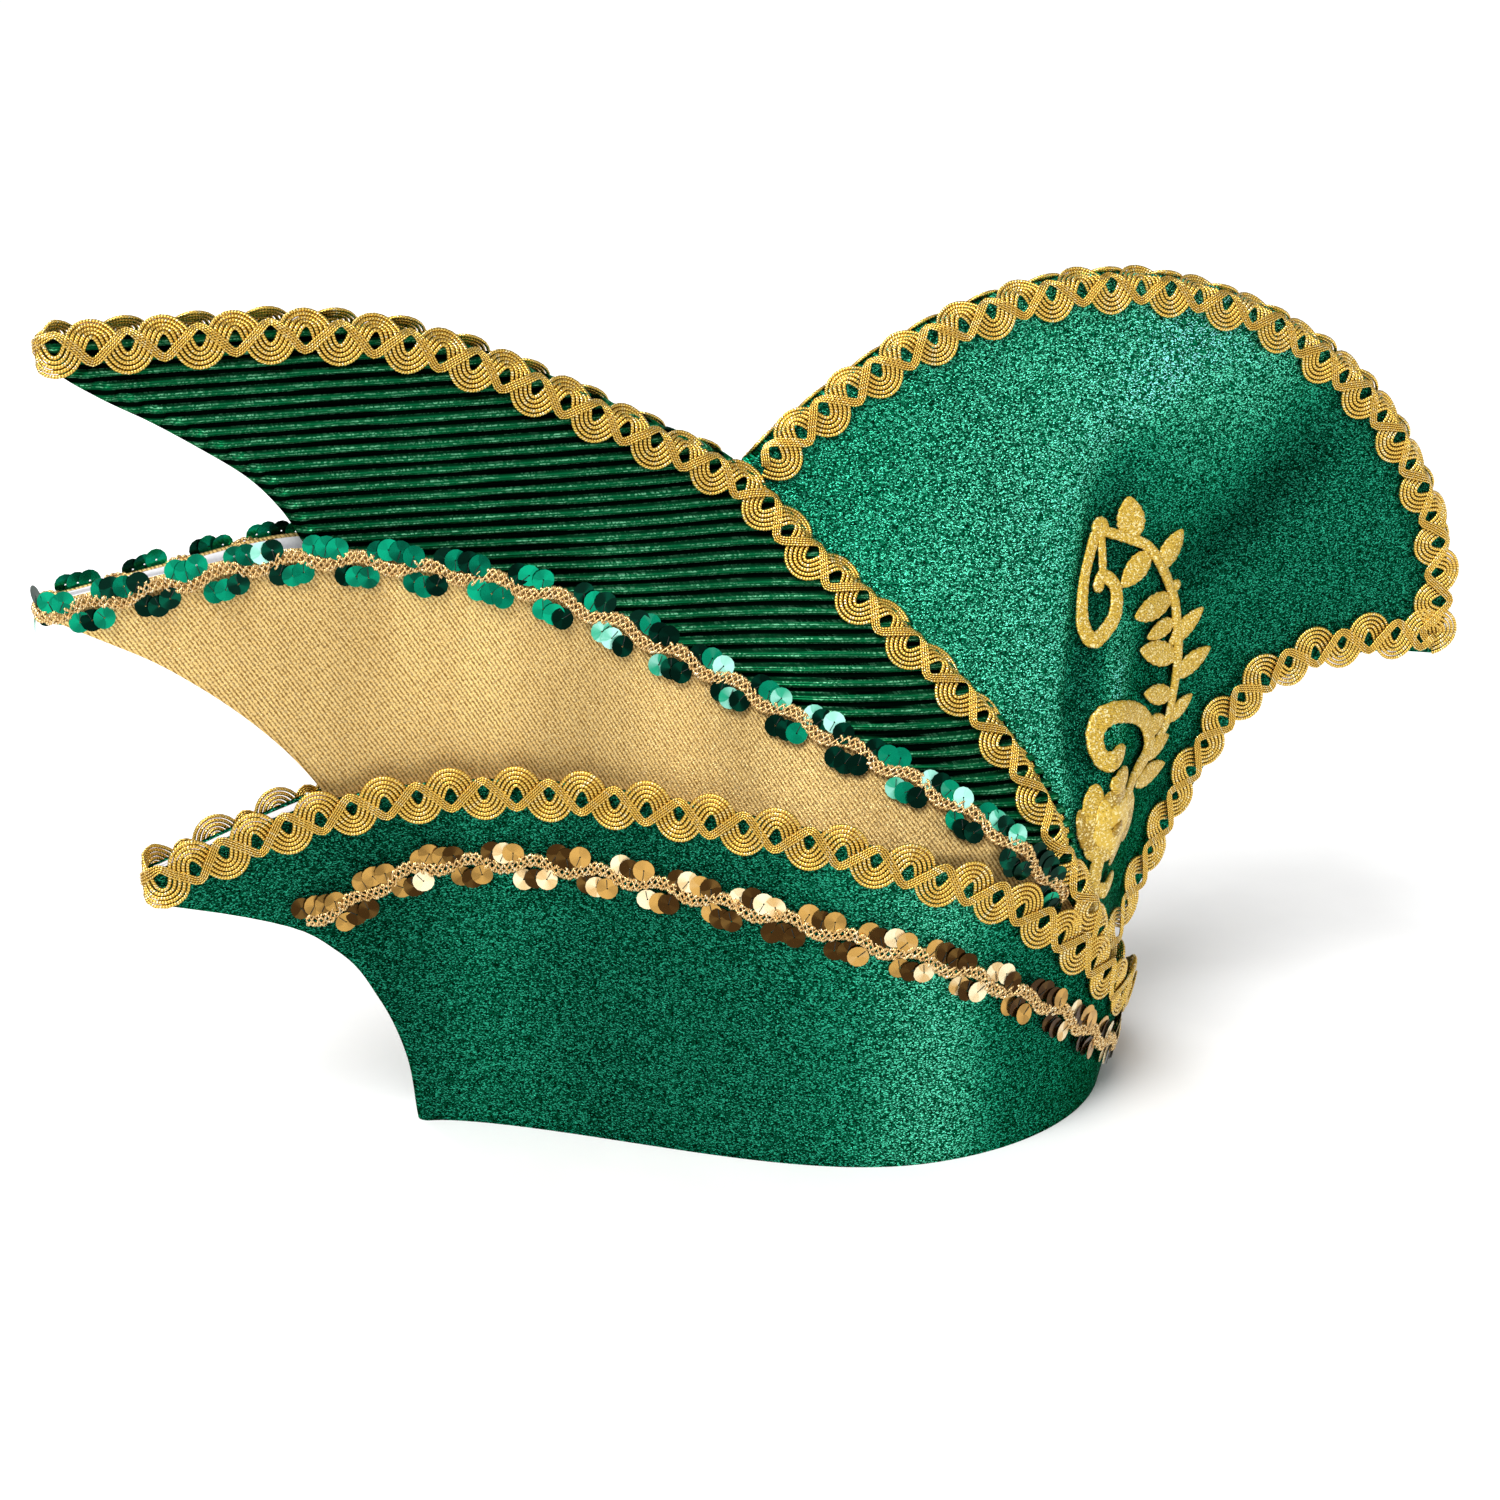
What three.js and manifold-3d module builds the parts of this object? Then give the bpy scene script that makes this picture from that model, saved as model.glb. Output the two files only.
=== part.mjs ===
// Carnival cap: a boat-shaped cap of three stepped tiers, each with a pointed tail, and a tall front crest.
// Millimetres, front +X, up +Z. The rim stands on z = 0 and the cap is alike on both sides of y = 0.

import * as THREE from 'three';
import { mergeVertices } from 'three/addons/utils/BufferGeometryUtils.js';
import Module from 'manifold-3d';

const wasm = await Module();
wasm.setup();

// Rim: a boat plan for a head of about 580 mm round, leaning forward above the brow
const rim = { widestX: 33, frontX: 117, halfWidth: 81.5, taper: 1.3, lean: 0.3 };

// Cloth and card: wall thicknesses and the clearance between two layers
const cloth = { thick: 1.2, clear: 0.6 };
const card = { thick: 1.0, insetLow: 0.03, insetHigh: 0.99 };
const seat = 0.9;
const layer = cloth.thick + cloth.clear + card.thick;

// Lowest tier: its top edge from the tail to the front, and its hollow rear edge from the rim to the tail
const baseEdge = smoothLine([
  { x: -188, z: 95 }, { x: -167, z: 103 }, { x: -145, z: 110 }, { x: -109, z: 116.5 },
  { x: -69, z: 117.8 }, { x: -32, z: 114 }, { x: 7, z: 107 }, { x: 37, z: 96.5 },
  { x: 55, z: 88 }, { x: 73, z: 74.5 }, { x: 90, z: 59 }, { x: 108, z: 40 }, { x: 125.7, z: 29 },
], 'x', 'z');
const baseRear = smoothLine([
  { z: 0, x: -107 }, { z: 24, x: -110.5 }, { z: 44, x: -118.5 }, { z: 63, x: -132 },
  { z: 74, x: -148 }, { z: 80, x: -165 }, { z: 86, x: -187 },
], 'z', 'x');
const baseRearHeight = smoothLine([
  { x: -187, z: 86 }, { x: -165, z: 80 }, { x: -148, z: 74 }, { x: -132, z: 63 },
  { x: -118.5, z: 44 }, { x: -110.5, z: 24 }, { x: -107, z: 0 },
], 'x', 'z');
const base = { tailHalf: 3.5, tailX: -188, tailZ: 86, edgeTaper: 2.6, frontX: 125.7 };

// Second tier: as above, with its lower edge tucked inside the lowest tier
const middleEdge = smoothLine([
  { x: -214, z: 182 }, { x: -180, z: 188 }, { x: -143, z: 193 }, { x: -108, z: 188.5 },
  { x: -67, z: 177.5 }, { x: -32, z: 158.5 }, { x: 0, z: 140 }, { x: 41, z: 116 },
  { x: 68, z: 94 }, { x: 84, z: 72 }, { x: 96, z: 48 },
], 'x', 'z');
const middleRear = smoothLine([
  { z: 90, x: -120 }, { z: 117, x: -135 }, { z: 127, x: -142.5 }, { z: 142, x: -157 },
  { z: 154, x: -171.5 }, { z: 164, x: -186 }, { z: 171.5, x: -200 }, { z: 179, x: -214 },
], 'z', 'x');
const middle = {
  tailHalf: 4.5, tailX: -214, tailZ: 179, taper: 1.8, proud: 3, tuck: 18, frontX: 96, trimShare: 0.82,
};

// Pleated third tier: its left and right ends at each height; the right end is the top edge and front slope
const wingLeft = smoothLine([
  { z: 66, x: 74 }, { z: 87, x: 55 }, { z: 107, x: 27 }, { z: 121, x: 2 }, { z: 141, x: -32 },
  { z: 160, x: -67 }, { z: 171, x: -106 }, { z: 178, x: -125 }, { z: 194, x: -135 }, { z: 206, x: -142 },
  { z: 218, x: -153 }, { z: 228, x: -167 }, { z: 237, x: -181 }, { z: 245, x: -195 },
  { z: 254, x: -207 }, { z: 259, x: -209 },
], 'z', 'x');
const wingRight = smoothLine([
  { z: 66, x: 90.5 }, { z: 75, x: 88 }, { z: 87, x: 85 }, { z: 107, x: 79.5 }, { z: 129, x: 67 },
  { z: 159, x: 41 }, { z: 185, x: 15 }, { z: 206, x: -4 }, { z: 222, x: -33.5 }, { z: 237.5, x: -64.5 },
  { z: 250, x: -95 }, { z: 256, x: -118 }, { z: 259, x: -142 },
], 'z', 'x');
const wing = {
  tailHalf: 3, taper: 1.8, lowZ: 73, highZ: 259, closedZ: 179, junctionZ: 207,
  pleats: 47, pleatHeight: 0.8, columns: [0, 0.3, 0.57, 0.8, 1], braidRoom: 3.4, braidLowZ: 91,
  innerRows: 20,
};

// Roof that the upper tiers and the crest share: it leans in from the shoulder to the ridge line
const ridgeHeight = smoothLine([
  { x: -213, z: 261 }, { x: -145, z: 262 }, { x: -109, z: 256 }, { x: -72, z: 243 }, { x: -40, z: 228 },
  { x: -7, z: 214 }, { x: 20, z: 225 }, { x: 47, z: 242 }, { x: 80, z: 255 }, { x: 112, z: 260 },
  { x: 150, z: 258 }, { x: 250, z: 250 },
], 'x', 'z');
const roof = { shoulderZ: 100, shoulderHalf: 76, ridgeHalf: 6, flare: 1.3, spread: 0.6 };

// Front crest: the four sides of its panel, a fan from the front point of the rim to the arc above
const crestSides = {
  arc: curveThrough([
    [-3, 204], [15, 220], [46.6, 240], [79, 252.5], [112.7, 257.5], [147, 253],
    [182, 238], [217, 209.5], [238.5, 173], [244, 145], [242.5, 122],
  ]),
  front: curveThrough([
    [107.5, 10], [116, 23], [126, 37], [137.5, 55], [151.5, 81],
    [168.5, 106], [189, 121], [216, 125], [242.5, 122],
  ]),
  rear: curveThrough([[78, 50], [70, 78], [60, 104], [36, 134], [14, 164], [-3, 204]]),
  low: curveThrough([[78, 50], [95, 31], [107.5, 10]]),
};
const crest = {
  creaseShare: 0.4, frontHalf: 3, footRound: 9, braidFoot: 0.2, thick: 1.6, clear: 2.2,
  columns: 13, rows: 8, crowding: 1.5, hollow: 0.8, hollowTo: 0.45, hollowEnd: 0.85,
};
const crestFolds = [
  { across: 0.4, width: 0.05, depth: 1.6, from: 0.3, to: 0.95 },
  { across: 0.62, width: 0.08, depth: 1.8, from: 0.3, to: 0.9 },
  { across: 0.82, width: 0.07, depth: -1.2, from: 0.4, to: 0.95 },
];

// Trims: a scalloped gold braid and a zigzag string of sequins, each a band with alternate wide places
const braid = { high: 8.5, low: 7.5, waist: 5.5, thick: 1.8, pitch: 20, drop: 4.5, clear: 1.2 };
const crestBraid = { ...braid, clear: 1.6 };
const sequins = { high: 7, low: 7, waist: 4, thick: 1.6, pitch: 20, drop: 3, clear: 0.9 };
const trimNose = 3.4;
const baseSequinLine = smoothLine([
  { x: -157, z: 74 }, { x: -138, z: 75.5 }, { x: -111, z: 88.5 }, { x: -86, z: 91.2 }, { x: -60, z: 90 },
  { x: -33, z: 85.5 }, { x: 8, z: 76 }, { x: 38, z: 65 }, { x: 55, z: 55.5 }, { x: 74, z: 44 },
  { x: 90, z: 30 }, { x: 106, z: 17 }, { x: 124, z: 8.5 },
], 'x', 'z');

// Gold ornament on the crest, drawn in the side view: ribbons, leaves and round buds of one flat thickness
const ornament = { thick: 1.2, clear: 1.4 };
const ornamentRibbons = [
  {
    name: 'vine',
    width: 3,
    steps: 8,
    points: [[109, 180], [120, 176], [127.5, 171.5], [137, 155.5], [138.5, 147], [128, 112]],
  },
  {
    name: 'loop',
    width: 3.8,
    steps: 11,
    points: [
      [107, 180], [100, 166], [98.3, 154], [101.5, 148.5],
      [110, 153.5], [112.4, 162], [108, 166.5], [105, 162],
    ],
  },
  { name: 'spike', width: 2.4, steps: 1, points: [[109, 179], [108, 166]] },
  {
    name: 'scroll',
    width: 6.4,
    steps: 9,
    points: [[112, 103], [119, 110], [121, 118], [114, 126], [105, 127], [98, 122], [99, 116], [105, 117]],
  },
  { name: 'neck', width: 4, steps: 1, points: [[114, 106], [105, 101]] },
  { name: 'foot', width: 3.4, steps: 3, points: [[96.5, 89], [96.5, 78], [98, 68], [102, 58]] },
  { name: 'stalk', width: 2, steps: 1, points: [[97, 77.5], [102, 76]] },
];
const ornamentLeaves = [
  { x: 120.5, z: 175.5, length: 14, angle: 92, width: 8.4 },
  { x: 130.5, z: 165, length: 15, angle: 50, width: 6.4 },
  { x: 127, z: 171, length: 15, angle: -144, width: 6.4 },
  { x: 137, z: 154, length: 18, angle: -174, width: 7 },
  { x: 138, z: 146, length: 13, angle: -170, width: 5 },
  { x: 136, z: 139, length: 17, angle: 35, width: 5 },
  { x: 137, z: 135, length: 19, angle: 158, width: 6.5 },
  { x: 134, z: 129.5, length: 18, angle: 24, width: 6 },
  { x: 134, z: 122.5, length: 15, angle: 155, width: 5 },
  { x: 129.5, z: 116, length: 15, angle: 27, width: 4.6 },
  { x: 118, z: 114, length: 14.5, angle: 0, width: 7 },
  { x: 117, z: 108, length: 14.5, angle: -18, width: 7 },
  { x: 112, z: 104, length: 13, angle: -32, width: 7 },
];
const ornamentRounds = [
  { name: 'knob', x: 108.8, z: 181, across: 3.2, up: 3.4, lobes: 0, sides: 6 },
  { name: 'bud', x: 138.5, z: 158, across: 2, up: 2, lobes: 0, sides: 6 },
  { name: 'bulb', x: 105, z: 107, across: 5, up: 4.6, lobes: 0, sides: 8 },
  { name: 'rose', x: 101, z: 96, across: 12.5, up: 10.5, lobes: 7, sides: 14 },
  { name: 'bell', x: 103, z: 75.6, across: 3, up: 3, lobes: 0, sides: 6 },
];
const roseEye = { x: 101, z: 96, across: 2.4, up: 2.2, lobes: 0, sides: 6 };

const finish = {
  greenLame: new THREE.MeshStandardMaterial({ color: 0x0c6b48, roughness: 0.42, metalness: 0.6 }),
  goldLame: new THREE.MeshStandardMaterial({ color: 0xbf9a5a, roughness: 0.5, metalness: 0.5 }),
  pleatedSatin: new THREE.MeshStandardMaterial({ color: 0x0a4a2c, roughness: 0.38, metalness: 0.2 }),
  whiteCard: new THREE.MeshStandardMaterial({ color: 0xe6e4ea, roughness: 0.85, metalness: 0 }),
  goldBraid: new THREE.MeshStandardMaterial({ color: 0xc99b3c, roughness: 0.4, metalness: 0.7 }),
  greenSequin: new THREE.MeshStandardMaterial({ color: 0x0a7a50, roughness: 0.15, metalness: 0.9 }),
  goldSequin: new THREE.MeshStandardMaterial({ color: 0xb98a45, roughness: 0.15, metalness: 0.9 }),
  goldThread: new THREE.MeshStandardMaterial({ color: 0xd0a030, roughness: 0.5, metalness: 0.5 }),
};

// A smooth line through a table's rows: the value of one column at any place along another
function smoothLine(rows, along, value) {
  const at = rows.map((row) => row[along]);
  const to = rows.map((row) => row[value]);
  const last = rows.length - 1;
  const slope = (i) => (to[i + 1] - to[i]) / (at[i + 1] - at[i]);
  const tangent = (i) => {
    if (i === 0) return slope(0);
    if (i === last) return slope(last - 1);
    const before = at[i] - at[i - 1];
    const after = at[i + 1] - at[i];
    return (slope(i - 1) * after + slope(i) * before) / (before + after);
  };
  return (place) => {
    const t = THREE.MathUtils.clamp(place, at[0], at[last]);
    let i = 0;
    while (i < last - 1 && t > at[i + 1]) i += 1;
    const step = at[i + 1] - at[i];
    const s = (t - at[i]) / step;
    const rise = s * s * (3 - 2 * s);
    const bend = step * s * (1 - s) * (tangent(i) * (1 - s) - tangent(i + 1) * s);
    return to[i] * (1 - rise) + to[i + 1] * rise + bend;
  };
}

// A curve in the side view through points given as x and z
function curveThrough(points) {
  return new THREE.SplineCurve(points.map(([x, z]) => new THREE.Vector2(x, z)));
}

// Share of the full width that the round front keeps at a place
function frontShare(x, z) {
  if (x <= rim.widestX) return 1;
  const reach = rim.frontX + rim.lean * z - rim.widestX;
  return Math.sqrt(Math.max(0, 1 - ((x - rim.widestX) / reach) ** 2));
}

// Share of the full width that the boat-shaped rear has reached at a place
function rearShare(x, rearX, taper) {
  const t = THREE.MathUtils.clamp((x - rearX) / (rim.widestX - rearX), 0, 1);
  return Math.sin((Math.PI / 2) * t ** taper);
}

// Half-width of the lowest tier: straight up from the rim, or from the rear edge, to the top edge
function baseHalf(x, z) {
  const lowZ = baseRearHeight(x);
  const rise = THREE.MathUtils.clamp((z - lowZ) / (baseEdge(x) - lowZ), 0, 1);
  const spread = rim.halfWidth - base.tailHalf;
  const low = rearShare(x, baseRear(0), rim.taper);
  const high = rearShare(x, base.tailX, base.edgeTaper);
  return (base.tailHalf + spread * (low + (high - low) * rise)) * frontShare(x, z);
}

// Half-width of the shared roof before its tails and front are drawn in
function roofHalf(x, z) {
  const ridge = ridgeHeight(x);
  const share = THREE.MathUtils.clamp((ridge - z) / (ridge - roof.shoulderZ), 0, 1);
  return roof.ridgeHalf + (roof.shoulderHalf - roof.ridgeHalf) * share ** roof.flare;
}

// How a half-width changes along x and z
function steepness(half, x, z) {
  const step = 0.5;
  return {
    alongX: (half(x + step, z) - half(x - step, z)) / (2 * step),
    alongZ: (half(x, z + step) - half(x, z - step)) / (2 * step),
  };
}

// Half-width of a surface that lies inside another, by a depth measured square to it
function insideOf(half, depth) {
  return (x, z) => {
    const { alongX, alongZ } = steepness(half, x, z);
    return half(x, z) - depth(x) * Math.sqrt(1 + alongX ** 2 + alongZ ** 2);
  };
}

const insideBase = insideOf(baseHalf, () => layer + seat);

// The lesser of two half-widths, rounded off where they cross
function lesser(one, other) {
  const round = 1.5;
  return -round * Math.log(Math.exp(-one / round) + Math.exp(-other / round));
}

// Half-width of the second tier, kept inside the lowest one where they overlap
function middleHalf(x, z) {
  const proud = roofHalf(x, z) + middle.proud - middle.tailHalf;
  const full = middle.tailHalf + proud * rearShare(x, middleRear(z), middle.taper);
  const room = insideBase(x, z) + Math.max(0, z - baseEdge(x)) * roof.spread;
  return lesser(full * frontShare(x, z), room);
}

// Inside the second tier, with room at the front for the braid between both
const insideMiddle = insideOf(middleHalf, (x) => (
  layer + seat + wing.pleatHeight + wing.braidRoom * THREE.MathUtils.smoothstep(x, 25, 70)));

// Half-width of the pleated tier at the foot of its pleats
function wingHalf(x, z) {
  const full = wing.tailHalf + (roofHalf(x, z) - wing.tailHalf) * rearShare(x, wingTailX(z), wing.taper);
  const room = insideMiddle(x, z) + Math.max(0, z - middleEdge(x)) * roof.spread;
  return lesser(full * frontShare(x, z), room);
}

// Rear end of the pleated tier, which runs on down inside the second tier
function wingTailX(z) {
  return wingLeft(Math.max(z, wing.closedZ));
}

const crestRoof = insideOf(wingHalf, () => cloth.thick + crest.clear);

// Point on the right-hand side of a half-width surface
function onSide(half, x, z) {
  return new THREE.Vector3(x, -half(x, z), z);
}

// Outward direction there
function outwardOf(half, x, z) {
  const { alongX, alongZ } = steepness(half, x, z);
  return new THREE.Vector3(-alongX, -1, -alongZ).normalize();
}

function mirrored(point) {
  return new THREE.Vector3(point.x, -point.y, point.z);
}

// An open skin of welded triangles that becomes a wall of even thickness
class Skin {
  constructor() {
    this.points = [];
    this.faces = [];
    this.known = new Map();
  }

  vertex(point) {
    const key = [point.x, point.y, point.z].map((value) => Math.round(value * 1000)).join(' ');
    if (!this.known.has(key)) {
      this.known.set(key, this.points.length);
      this.points.push(point.clone());
    }
    return this.known.get(key);
  }

  face(a, b, c) {
    const [i, j, k] = [a, b, c].map((point) => this.vertex(point));
    if (i !== j && j !== k && k !== i) this.faces.push([i, j, k]);
  }

  // Four corners in order, cut along the first diagonal
  quad(a, b, c, d) {
    this.face(a, b, c);
    this.face(a, c, d);
  }

  // A right-hand grid, columns towards the front and rows upwards, and its mirror image
  sides(grid) {
    for (let i = 0; i + 1 < grid.length; i += 1) {
      for (let j = 0; j + 1 < grid[i].length; j += 1) {
        const [a, b, c, d] = [grid[i][j], grid[i + 1][j], grid[i + 1][j + 1], grid[i][j + 1]];
        this.quad(a, b, c, d);
        this.quad(...[a, d, c, b].map(mirrored));
      }
    }
  }

  // A strip that joins both sides along a right-hand line, round by the given amount
  join(line, round) {
    for (let i = 0; i + 1 < line.length; i += 1) {
      const [a, b] = [line[i], line[i + 1]];
      if (round === 0) {
        this.quad(a, b, mirrored(b), mirrored(a));
      } else {
        const [p, q] = [nosePoint(line, i, round), nosePoint(line, i + 1, round)];
        this.quad(a, b, q, p);
        this.quad(p, q, mirrored(b), mirrored(a));
      }
    }
  }

  // Inward step at each vertex that keeps the wall's thickness at its corners
  inwardSteps() {
    const sums = this.points.map(() => new THREE.Vector3());
    const normals = this.faces.map(([i, j, k]) => {
      const edge = this.points[j].clone().sub(this.points[i]);
      return edge.cross(this.points[k].clone().sub(this.points[i]));
    });
    this.faces.forEach((face, f) => face.forEach((i) => sums[i].add(normals[f])));
    sums.forEach((sum) => sum.normalize());
    const squareness = this.points.map(() => ({ total: 0, count: 0 }));
    this.faces.forEach((face, f) => face.forEach((i) => {
      squareness[i].total += sums[i].dot(normals[f].clone().normalize());
      squareness[i].count += 1;
    }));
    return sums.map((sum, i) => {
      const { total, count } = squareness[i];
      const step = sum.clone().multiplyScalar(-1 / Math.max(0.6, total / count));
      if (this.points[i].z < 1e-6) step.z = 0;
      return step;
    });
  }

  // Boundary loops, each a run of vertices in the order of the faces beside them
  rims() {
    const sides = this.faces.flatMap(([i, j, k]) => [[i, j], [j, k], [k, i]]);
    const known = new Set(sides.map(([from, to]) => `${from} ${to}`));
    const next = new Map(sides.filter(([from, to]) => !known.has(`${to} ${from}`)));
    const loops = [];
    while (next.size > 0) {
      const loop = [];
      let [at] = next.keys();
      while (next.has(at)) {
        loop.push(at);
        const to = next.get(at);
        next.delete(at);
        at = to;
      }
      loops.push(loop);
    }
    return loops;
  }

  pointsAt(depth) {
    const steps = this.inwardSteps();
    return this.points.map((point, i) => point.clone().addScaledVector(steps[i], depth));
  }

  // Closed wall between two depths, the inner one in this skin or in a coarser one
  wall(outerDepth, innerDepth, inner = this) {
    const count = this.points.length;
    const points = [...this.pointsAt(outerDepth), ...inner.pointsAt(innerDepth)];
    const inside = inner.faces.flatMap(([i, j, k]) => [i + count, k + count, j + count]);
    const outerRims = this.rims();
    const laces = inner.rims().flatMap((loop) => lace(points, outerRims, loop.map((i) => i + count)));
    const geometry = new THREE.BufferGeometry().setFromPoints(points);
    geometry.setIndex([...this.faces.flat(), ...inside, ...laces]);
    geometry.computeVertexNormals();
    return geometry;
  }
}

// Triangles from an inner loop to the outer loop beside it, always across the shorter way
function lace(points, outerRims, innerLoop) {
  const apart = (i, j) => points[i].distanceTo(points[j]);
  const [start] = innerLoop;
  const { loop, at } = outerRims
    .flatMap((one) => one.map((vertex, i) => ({ loop: one, at: i, vertex })))
    .reduce((best, one) => (apart(one.vertex, start) < apart(best.vertex, start) ? one : best));
  const outer = [...loop.slice(at), ...loop.slice(0, at + 1)];
  const inner = [...innerLoop, innerLoop[0]];
  const index = [];
  let [i, j] = [0, 0];
  while (i + 1 < outer.length || j + 1 < inner.length) {
    const outerDone = i + 1 === outer.length;
    const innerDone = j + 1 === inner.length;
    const outerNearer = () => apart(outer[i + 1], inner[j]) <= apart(outer[i], inner[j + 1]);
    if (innerDone || (!outerDone && outerNearer())) {
      index.push(outer[i + 1], outer[i], inner[j]);
      i += 1;
    } else {
      index.push(outer[i], inner[j], inner[j + 1]);
      j += 1;
    }
  }
  return index;
}

// Point on the middle plane that rounds the rear edge between both sides
function nosePoint(line, i, round) {
  const before = line[Math.max(0, i - 1)];
  const after = line[Math.min(line.length - 1, i + 1)];
  const out = new THREE.Vector3(before.z - after.z, 0, after.x - before.x).normalize();
  if (line[i].z < 1e-6) out.set(-1, 0, 0);
  return new THREE.Vector3(line[i].x, 0, line[i].z).addScaledVector(out, round);
}

// A tier that runs in straight lines from its lower edge to its upper edge
const tierShares = { tail: 0.3, flank: 0.68 };

// Place along one stretch of a tier: 0 to 1 in the tail, along the flank and round the front
function stretchOf(share) {
  const { tail, flank } = tierShares;
  if (share <= tail) return { name: 'tail', t: share / tail };
  if (share <= flank) return { name: 'flank', t: (share - tail) / (flank - tail) };
  return { name: 'front', t: Math.sin(((share - flank) / (1 - flank)) * (Math.PI / 2)) };
}

const baseTier = {
  half: baseHalf,
  columns: { tail: 7, flank: 8, front: 8 },
  rows: 2,
  low(share) {
    const { name, t } = stretchOf(share);
    if (name === 'tail') {
      const z = base.tailZ * (1 - t);
      return { x: baseRear(z), z };
    }
    if (name === 'flank') return { x: baseRear(0) + (rim.widestX - baseRear(0)) * t, z: 0 };
    return { x: rim.widestX + (rim.frontX - rim.widestX) * t, z: 0 };
  },
  high(share) {
    const { name, t } = stretchOf(share);
    const flankX = -105;
    let x = rim.widestX + (base.frontX - rim.widestX) * t;
    if (name === 'tail') x = base.tailX + (flankX - base.tailX) * t;
    if (name === 'flank') x = flankX + (rim.widestX - flankX) * t;
    return { x, z: baseEdge(x) };
  },
};

const middleTier = {
  half: middleHalf,
  columns: { tail: 6, flank: 7, front: 7 },
  rows: 2,
  low(share) {
    const { name, t } = stretchOf(share);
    const tailX = -126;
    const lowZ = baseEdge(tailX) - middle.tuck;
    if (name === 'tail') {
      const z = middle.tailZ + (lowZ - middle.tailZ) * t;
      return { x: middleRear(z), z };
    }
    const startX = middleRear(lowZ);
    let x = rim.widestX + (middle.frontX - rim.widestX) * t;
    if (name === 'flank') x = startX + (rim.widestX - startX) * t;
    return { x, z: baseEdge(x) - middle.tuck };
  },
  high(share) {
    const { name, t } = stretchOf(share);
    const flankX = -100;
    let x = rim.widestX + (middle.frontX - rim.widestX) * t;
    if (name === 'tail') x = middle.tailX + (flankX - middle.tailX) * t;
    if (name === 'flank') x = flankX + (rim.widestX - flankX) * t;
    return { x, z: middleEdge(x) };
  },
};

// Point on the right-hand side of a tier: a share of its length, and of its height from 0 to 1
function tierPoint(tier, share, rise) {
  const low = tier.low(share);
  const high = tier.high(share);
  const x = low.x + (high.x - low.x) * rise;
  return onSide(tier.half, x, low.z + (high.z - low.z) * rise);
}

// Shares of a tier's length at its columns
function tierColumns(tier) {
  const { tail, flank } = tierShares;
  const spans = [
    { from: 0, to: tail, steps: tier.columns.tail },
    { from: tail, to: flank, steps: tier.columns.flank },
    { from: flank, to: 1, steps: tier.columns.front },
  ];
  const inner = spans.flatMap(({ from, to, steps }) => evenly(steps, from, to).slice(0, -1));
  return [...inner, 1];
}

function evenly(steps, from, to) {
  return Array.from({ length: steps + 1 }, (_, i) => from + ((to - from) * i) / steps);
}

// Skin of a tier between two shares of its height, joined round its tail
function tierSkin(tier, lowRise, highRise) {
  const shares = tierColumns(tier);
  const rises = evenly(tier.rows, lowRise, highRise);
  const grid = shares.map((share) => rises.map((rise) => tierPoint(tier, share, rise)));
  const skin = new Skin();
  skin.sides(grid);
  const underside = grid.slice(0, tier.columns.tail + 1).map((column) => column[0]).reverse();
  const tip = grid[0].slice(1);
  const noseRound = 2.4;
  skin.join([...underside, ...tip], noseRound);
  return skin;
}

// Skin of the pleated tier at even levels, from the tucked edge up to the ridge, every other level raised
function wingSkin(steps, pleatHeight) {
  const levels = evenly(steps, wing.lowZ, wing.highZ);
  const rows = levels.map((z, j) => wing.columns.map((share) => {
    const x = THREE.MathUtils.lerp(wingLeft(z), wingRight(z), share);
    const height = j % 2 === 1 ? pleatHeight : 0;
    return onSide(wingHalf, x, z).addScaledVector(outwardOf(wingHalf, x, z), height);
  }));
  const grid = wing.columns.map((_, i) => rows.map((row) => row[i]));
  const skin = new Skin();
  skin.sides(grid);
  const noseRound = 2;
  skin.join(rows.filter((_, j) => levels[j] >= wing.closedZ).map((row) => row[0]), noseRound);
  const ridge = rows.filter((_, j) => levels[j] >= wing.junctionZ).map((row) => row[row.length - 1]);
  skin.join([...rows[rows.length - 1].slice(0, -1), ...ridge.reverse()], 0);
  return skin;
}

// Pleated wall with two levels to each pleat outside and fewer, plain ones inside
function wingWall() {
  const outer = wingSkin(2 * wing.pleats, wing.pleatHeight);
  const inner = wingSkin(wing.innerRows, 0);
  return outer.wall(0, cloth.thick, inner);
}

// Place in the side view of the crest's panel: across from its rear to its front edge, and up to its arc
function crestPlace(across, up) {
  const { arc, front, rear, low } = crestSides;
  const corners = [low.getPoint(0), low.getPoint(1), arc.getPoint(0), arc.getPoint(1)];
  const weights = [(1 - across) * (1 - up), across * (1 - up), (1 - across) * up, across * up];
  const place = new THREE.Vector2()
    .addScaledVector(low.getPointAt(across), 1 - up)
    .addScaledVector(arc.getPointAt(across), up)
    .addScaledVector(rear.getPointAt(up), 1 - across)
    .addScaledVector(front.getPointAt(up), across);
  corners.forEach((corner, i) => place.addScaledVector(corner, -weights[i]));
  return { x: place.x, z: place.y };
}

// Soft folds that run up the crest
function crestFoldDepth(across, up) {
  return crestFolds.reduce((depth, fold) => {
    const inside = Math.exp(-(((across - fold.across) / fold.width) ** 2));
    const along = THREE.MathUtils.clamp((up - fold.from) / (fold.to - fold.from), 0, 1);
    return depth + fold.depth * inside * Math.sin(Math.PI * along);
  }, 0);
}

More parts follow.
